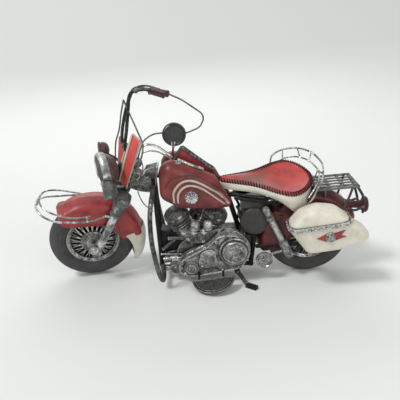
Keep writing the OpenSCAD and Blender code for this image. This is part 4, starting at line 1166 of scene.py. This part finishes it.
cover = Shape()
line = rounded(COVER)
cover.grid([[Vector((x, y, z)) for x, z in scaled(line, k)] for y, k in
            ((-14.2, 0.985), (-19, 0.99), (-19.4, 1.01), (-20.6, 1.01), (-21, 0.985), (-25.4, 0.975),
             (-26.6, 0.955),
             (-27.0, 0.92), (-26.5, 0.9), (-26.5, 0.5))], closed=True, caps=True)
cover.piece("primary_case", "chassis", M_SILVER, "aged_silver", BIKE, ["primary_cover"], 35)
rims = Shape()
rims.tube([Vector((x, -26.9, z)) for x, z in scaled(line, 0.935) + scaled(line, 0.935)[:1]], 0.6, 8, 0)
DPANEL = [(0.5, 22.5), (0.8, 31.5), (2.6, 36), (7, 38.6), (13.8, 38.2), (15, 31), (16.4, 24.4), (9, 20.8)]
dline = rounded(DPANEL, 4)
for k in (1.0, 0.86):
    ring_line = scaled(dline, k)
    rims.tube([Vector((x, -27.3, z)) for x, z in ring_line + ring_line[:1]], 0.55, 8, 0)
rims.grid([[Vector((x, y, z)) for x, z in scaled(dline, k)] for y,
           k in ((-26, 0.9), (-28.4, 0.84), (-28.9, 0.74))],
          closed=True, caps=True)
clutch = (33, -28.3, 37)
rims.lathe([(10.6, -2), (14, -2), (14.6, -0.8), (14.4, 0.4), (13.4, 0.9), (12.6, 0.4), (12.2, 0.1),
            (11.4, 0.8), (11.6, 2.1),
            (10.8, 2.9), (9.8, 2.6), (9, 2.1), (5, 2.8), (0.1, 3.1)], clutch, (0, -1, 0), 72)
rims.lathe([(0.1, 2.6), (2.6, 2.5), (3.4, 1.9), (3.6, 2.6), (4.8, 2.4), (5.2, 1.4), (5.4, 0.4), (6.6, 0.2),
            (7, -0.8),
            (7, -2), (0.1, -2)], (-8, -28.2, 20), (0, -1, 0), 48)
rims.lathe([(0.1, 1.6), (3.6, 1.4), (4.6, 0.8), (5.4, 1.2), (6, 0.2), (6, -6), (0.1, -6)], (-23.5, -21, 15),
           (0, -1, 0), 40)
rims.piece("primary_rims", "chassis", M_SILVER, "aged_silver", BIKE, ["primary_caps"], 40)
screws = Shape()
for x, z in ((5, 41.5), (16, 47.5), (44.4, 44.6), (44.2, 30), (-17, 25.5), (29, 52.0), (-14, 13.4),
             (22, 16.6), (38, 20)):
    screws.lathe([(0.1, 0.9), (0.5, 0.8), (0.7, 1.3), (1.3, 1.2), (1.8, 0.5), (1.9, -0.8), (0.1, -0.8)],
                 (x, -26.9, z),
                 (0, -1, 0), 20)
screws.piece("primary_screws", "chassis", M_BRIGHT, "bright_silver", BIKE, ["cover_screws"], 40)
lower = Shape()
for k, (a, b, r) in enumerate((((-38, -12, 27), (-18, -14, 27.5), 1.2),
                               ((-36, -14, 23), (-18, -16, 25), 1.0),
                               ((-34, -15, 18), (-20, -20, 21), 1.5),
                               ((-34, -16, 11.5), (-20, -19, 17.5), 1.2),
                               ((-36, -10, 31), (-24, -10, 42), 1.6),
                               ((-30, -12, 44), (-10, -14, 46), 1.8))):
    lower.tube([a, b], r, 10, 0)
lower.ball((-27, -15, 12.8), 2.4, (1.2, 1, 0.9), 8)
lower.ball((-33.5, -14, 10.8), 2.2, (1.1, 1, 0.8), 8)
lower.lathe([(0.1, 1), (3.4, 0.8), (4, 0), (4, -3), (0.1, -3)], (-31.5, -15.5, 21), (0, -1, 0), 24)
lower.piece("engine_lower_links", "chassis", M_DARKSILVER, "aged_silver")
front_box = Shape().slab([(-38, 51), (-16, 45.5), (-12, 32), (-13, 26), (-33, 24.5), (-38.5, 36)], -8, 8)
front_box.piece("generator_box", "chassis", M_BLACKPAINT, "black_paint", bevel=1.2)
slashes = Shape()
for a, b, r in (((-31.5, -9, 27.0), (-16.6, -9, 29.8), 0.9), ((-28, -9, 24.6), (-15, -9, 26.4), 0.8)):
    slashes.tube([a, b], r, 10, 0)
slashes.tube([(-56, -8, 92.6), (-53.6, -8, 84.6), (-50, -8, 78.3), (-43, -7, 71)], 0.6, 8)
slashes.piece("engine_front_wires", "chassis", M_RAIL, "aged_silver")
cad("crankcase steering_head", M_DARKSILVER, 0.5)
cad("frame_backbone frame_cradle swing_arm", M_BLACKPAINT)
cad("exhaust air_cleaner", M_SILVER, 0.3)
cad("front_axle rear_axle", M_SILVER, 0.2)
oil = Shape().lathe([(0.1, -15.4), (11.5, -15.2), (13.4, -14.6), (14, -13.4), (14, -3.4), (14.3, -3),
                     (14.3, 3), (14, 3.4),
                     (14, 13.4), (13.4, 14.6), (11.5, 15.2), (6, 15.5), (0.1, 15.6)], (53, 0, 61),
                     (0, -1, 0), 72)
oil.slab([(38, 30), (50, 30), (50, 46), (38, 46)], -12, 12)
oil.slab([(40, 74), (60, 73), (66, 79), (52, 84), (40, 82)], -12, 12)
oil.piece("oil_tank_drum", "chassis", M_OIL, "black_paint", BIKE, ["oil_tank"], 40, bevel=0.5)
box = Shape()
for side in (-1, 1):
    box.tube([(34, 8 * side, 84), (44, 12 * side, 83), (60, 15 * side, 82), (70, 16 * side, 80)], 1.6, 10)
    box.tube([(36, 9 * side, 76), (40, 12 * side, 66), (39, 13 * side, 54), (36, 13 * side, 46)], 1.3, 10)
    coil = [(74 + 0.12 * k + 2.4 * math.cos(0.9 * k), 14 * side + 1.5 * math.sin(0.9 * k), 82 - 0.55 * k)
            for k in range(34)]
    box.tube(coil, 0.75, 6, 1)
box.piece("subframe_links", "chassis", M_BLACKPAINT, "black_paint")
shocks = Shape()
for side in (-1, 1):
    top, low = Vector((62, -19.5 * -side, 76)), Vector((88, -19.5 * -side, 24))
    down = low - top
    shocks.lathe([(0.1, -2.6), (2.6, -2), (3.3, 0), (3.3, 9), (4.0, 9.6), (4.0, 11), (3.2, 11.6), (3.0, 36),
                  (3.7, 36.6),
                  (4.3, 38), (4.3, 54), (3.8, 55.4), (3.2, 56.4), (0.1, 57)], top, down, 40)
    for k in range(11):
        q = top + down.normalized() * (13 + 2.1 * k)
        shocks.lathe([(3.0, -0.5), (3.35, 0), (3.0, 0.5)], q, down, 24)
shocks.piece("shock_tubes", "chassis", M_SILVER, "aged_silver", BIKE, ["rear_shocks"], 35)
guards = Shape()
GUARD = [(-41, -6.5, 96), (-42.5, -20, 88), (-43.5, -31, 74), (-42.5, -38, 54), (-39, -40.5, 30),
         (-36, -38, 15),
         (-35, -28, 11), (-37, -10, 13.6)]
guards.tube(GUARD, 2.5, 14, 8, 0.85).mirrored()
guards.piece("guard_loops", "chassis", M_STRAP, "aged_silver", BIKE, ["engine_guards"])
pegs = Shape()
for side in (-1, 1):
    pegs.lathe([(0.1, 1.5), (6.4, 1.5), (6.8, 2.1), (7.7, 2.0), (8.1, 1.2), (8.1, -1), (7.4, -1.6), (5, -2),
                (5, -6),
                (0.1, -6)], (61.7, 23.5 * side, 25), (0, side, 0), 48)
    for k in range(26):
        w, rr = k * 2.4, 6.0 * math.sqrt((k + 0.5) / 26)
        pegs.ball((61.7 + rr * math.cos(w), (23.5 + 1.6) * side, 25 + rr * math.sin(w)), 0.62, (1, 0.7, 1),
                  4)
    pegs.tube([(64, 19 * side, 26), (70, 18.5 * side, 28.5), (79, 18 * side, 31)], 1.2, 10)
pegs.piece("peg_discs", "chassis", M_SILVER, "black_paint", BIKE, ["passenger_pegs"], 40)

# ---------- footboards and side stand ----------
BOARD_R, BOARD_DROP, BOARD_PITCH = 20.1, math.radians(10), math.radians(8.5)
AT_BOARD = Matrix.Translation((13, -32, 12)) @ Matrix.Rotation(BOARD_DROP, 4,
                                                               "X") @ Matrix.Rotation(-BOARD_PITCH, 4, "Y")


def half_moon(r, n=40):
    return [(r * math.cos(a), -1.9 + r * math.sin(a))
            for a in (math.pi + 0.095 + (math.pi - 0.19) * k / n for k in range(n + 1))]


for side, space in (("left", BIKE @ AT_BOARD), ("right", BIKE @ MIRROR @ AT_BOARD)):
    board, rim, tread = Shape(), Shape(), Shape()
    edge = half_moon(BOARD_R)
    board.grid([[Vector((x, y, z)) for x, y in edge] for z in (0, 1.3)], closed=True, caps=True)
    for r, z, s in ((BOARD_R - 0.3, 1.5, 0.85), (BOARD_R - 2.7, 1.6, 0.6)):
        ring_line = half_moon(r)
        rim.tube([Vector((x, y, z)) for x, y in ring_line + ring_line[:1]], s, 8, 0)
    pitch = 1.75
    for i in range(-13, 14):
        for j in range(1, 13):
            x, y = (i + 0.5 * (j % 2)) * pitch, -1.9 - j * pitch * 0.8 - 0.6
            if math.hypot(x, y + 1.9) < BOARD_R - 4.0:
                tread.ball((x, y, 1.3), 0.62, (1, 1, 0.8), 3)
    board.piece(f"footboard_{side}", "chassis", M_BLACKPAINT, "black_paint", space,
                ["footboards"] if side == "left" else [], bevel=0.3)
    rim.piece(f"footboard_rim_{side}", "chassis", M_BLACK, "black_paint", space)
    tread.piece(f"footboard_tread_{side}", "chassis", M_BLACK, "black_paint", space)
    stubs = Shape()
    for x in (-1, 22):
        stubs.tube([(x, -33, 11 + 0.13 * x), (x, -28, 13 + 0.13 * x), (x, -22, 18)], 1.0, 10)
    stubs.piece(f"footboard_stubs_{side}", "chassis", M_BLACKPAINT, "black_paint",
                BIKE if side == "left" else BIKE @ MIRROR)
cad("side_stand", M_BLACKPAINT, 0.3)
PIVOT = BIKE.inverted() @ Vector(JOINT["side_stand_swing"]["pos_m"])
stand = Shape()
stand.tube([PIVOT + Vector((0, -1, 0)), (40, -28, 8.8), (44, -34, 5.6), (50, -39.5, 6.2)], 2.1, 12, 6, 0.6)
stand.tube([(41.6, -31.4, 8.6), (43, -33.6, 7.2), (44.8, -35.4, 6.4)], 1.5, 10)
stand.lathe([(0.1, 1.2), (1.6, 1), (2.1, 0.2), (2.1, -1), (0.1, -1)], PIVOT + Vector((0, -3, 0)),
            (0, -1, 0), 24)
stand.piece("side_stand_strap", "side_stand", M_BLACK, "black_paint")

# ---------- floor, light and camera ----------
floor_mesh = bpy.data.meshes.new("floor")
SWEEP = [(-3.0, 0.0)] + [(0.6 + 3.0 * math.sin(a), 3.0 - 3.0 * math.cos(a)) for a in
                          (math.radians(5 * k) for k in range(19))] + [(3.6, 5.0)]
floor_mesh.from_pydata([(x, y, z) for y, z in SWEEP for x in (-4, 4)], [],
                       [[2 * i, 2 * i + 1, 2 * i + 3, 2 * i + 2] for i in range(len(SWEEP) - 1)])
floor_mesh.shade_smooth()
floor = bpy.data.objects.new("floor", floor_mesh)
bpy.context.scene.collection.objects.link(floor)
pale = bpy.data.materials.new("backdrop")
pale.use_nodes = True
pale.node_tree.nodes["Principled BSDF"].inputs["Base Color"].default_value = (0.78, 0.792, 0.772, 1)
pale.node_tree.nodes["Principled BSDF"].inputs["Roughness"].default_value = 0.75
floor_mesh.materials.append(pale)

world = bpy.data.worlds.new("studio")
bpy.context.scene.world = world
bpy.context.scene.view_settings.view_transform = "Standard"
world.use_nodes = True
world.node_tree.nodes["Background"].inputs["Color"].default_value = (0.93, 0.95, 0.95, 1)
world.node_tree.nodes["Background"].inputs["Strength"].default_value = 0.5


def softbox(name, at, size, power, aim=(0, 0, 0.08)):
    light = bpy.data.lights.new(name, "AREA")
    light.shape, light.size, light.size_y, light.energy = "RECTANGLE", *size, power
    o = bpy.data.objects.new(name, light)
    o.location = at
    o.rotation_euler = (Vector(aim) - Vector(at)).to_track_quat("-Z", "Y").to_euler()
    bpy.context.scene.collection.objects.link(o)


softbox("key", (-3.6, -2.5, 5.7), (1.5, 1.5), 262)
softbox("fill", (0.9, -1.3, 0.9), (1.2, 0.8), 6)
softbox("rim", (-0.2, 1.1, 0.9), (1.4, 0.5), 5)

EYE_HIGH, EYE_SIDE, EYE_ROLL, EYE_FAR = 0.41846, 0.014949, 0.031884, 421.183
LOOK_AT = Vector((1.6218, 0, 78.62))
back = Vector((math.sin(EYE_SIDE) * math.cos(EYE_HIGH), -math.cos(EYE_SIDE) * math.cos(EYE_HIGH),
               math.sin(EYE_HIGH)))
ahead = -back
right = ahead.cross(Vector((0, 0, 1))).normalized()
down = ahead.cross(right).normalized()
column_x = math.cos(EYE_ROLL) * right + math.sin(EYE_ROLL) * down
column_y = math.sin(EYE_ROLL) * right - math.cos(EYE_ROLL) * down
turn = Matrix((column_x, column_y, -ahead)).transposed()
lens_data = bpy.data.cameras.new("camera")
lens_data.sensor_width, lens_data.lens = 36, 39.6
lens_data.clip_start = 0.01
camera = bpy.data.objects.new("camera", lens_data)
camera.matrix_world = (Matrix.Translation(BIKE @ (LOOK_AT + back * EYE_FAR))
                       @ (Matrix.Rotation(LEAN, 3, "X") @ turn).to_4x4())
bpy.context.scene.collection.objects.link(camera)
bpy.context.scene.camera = camera
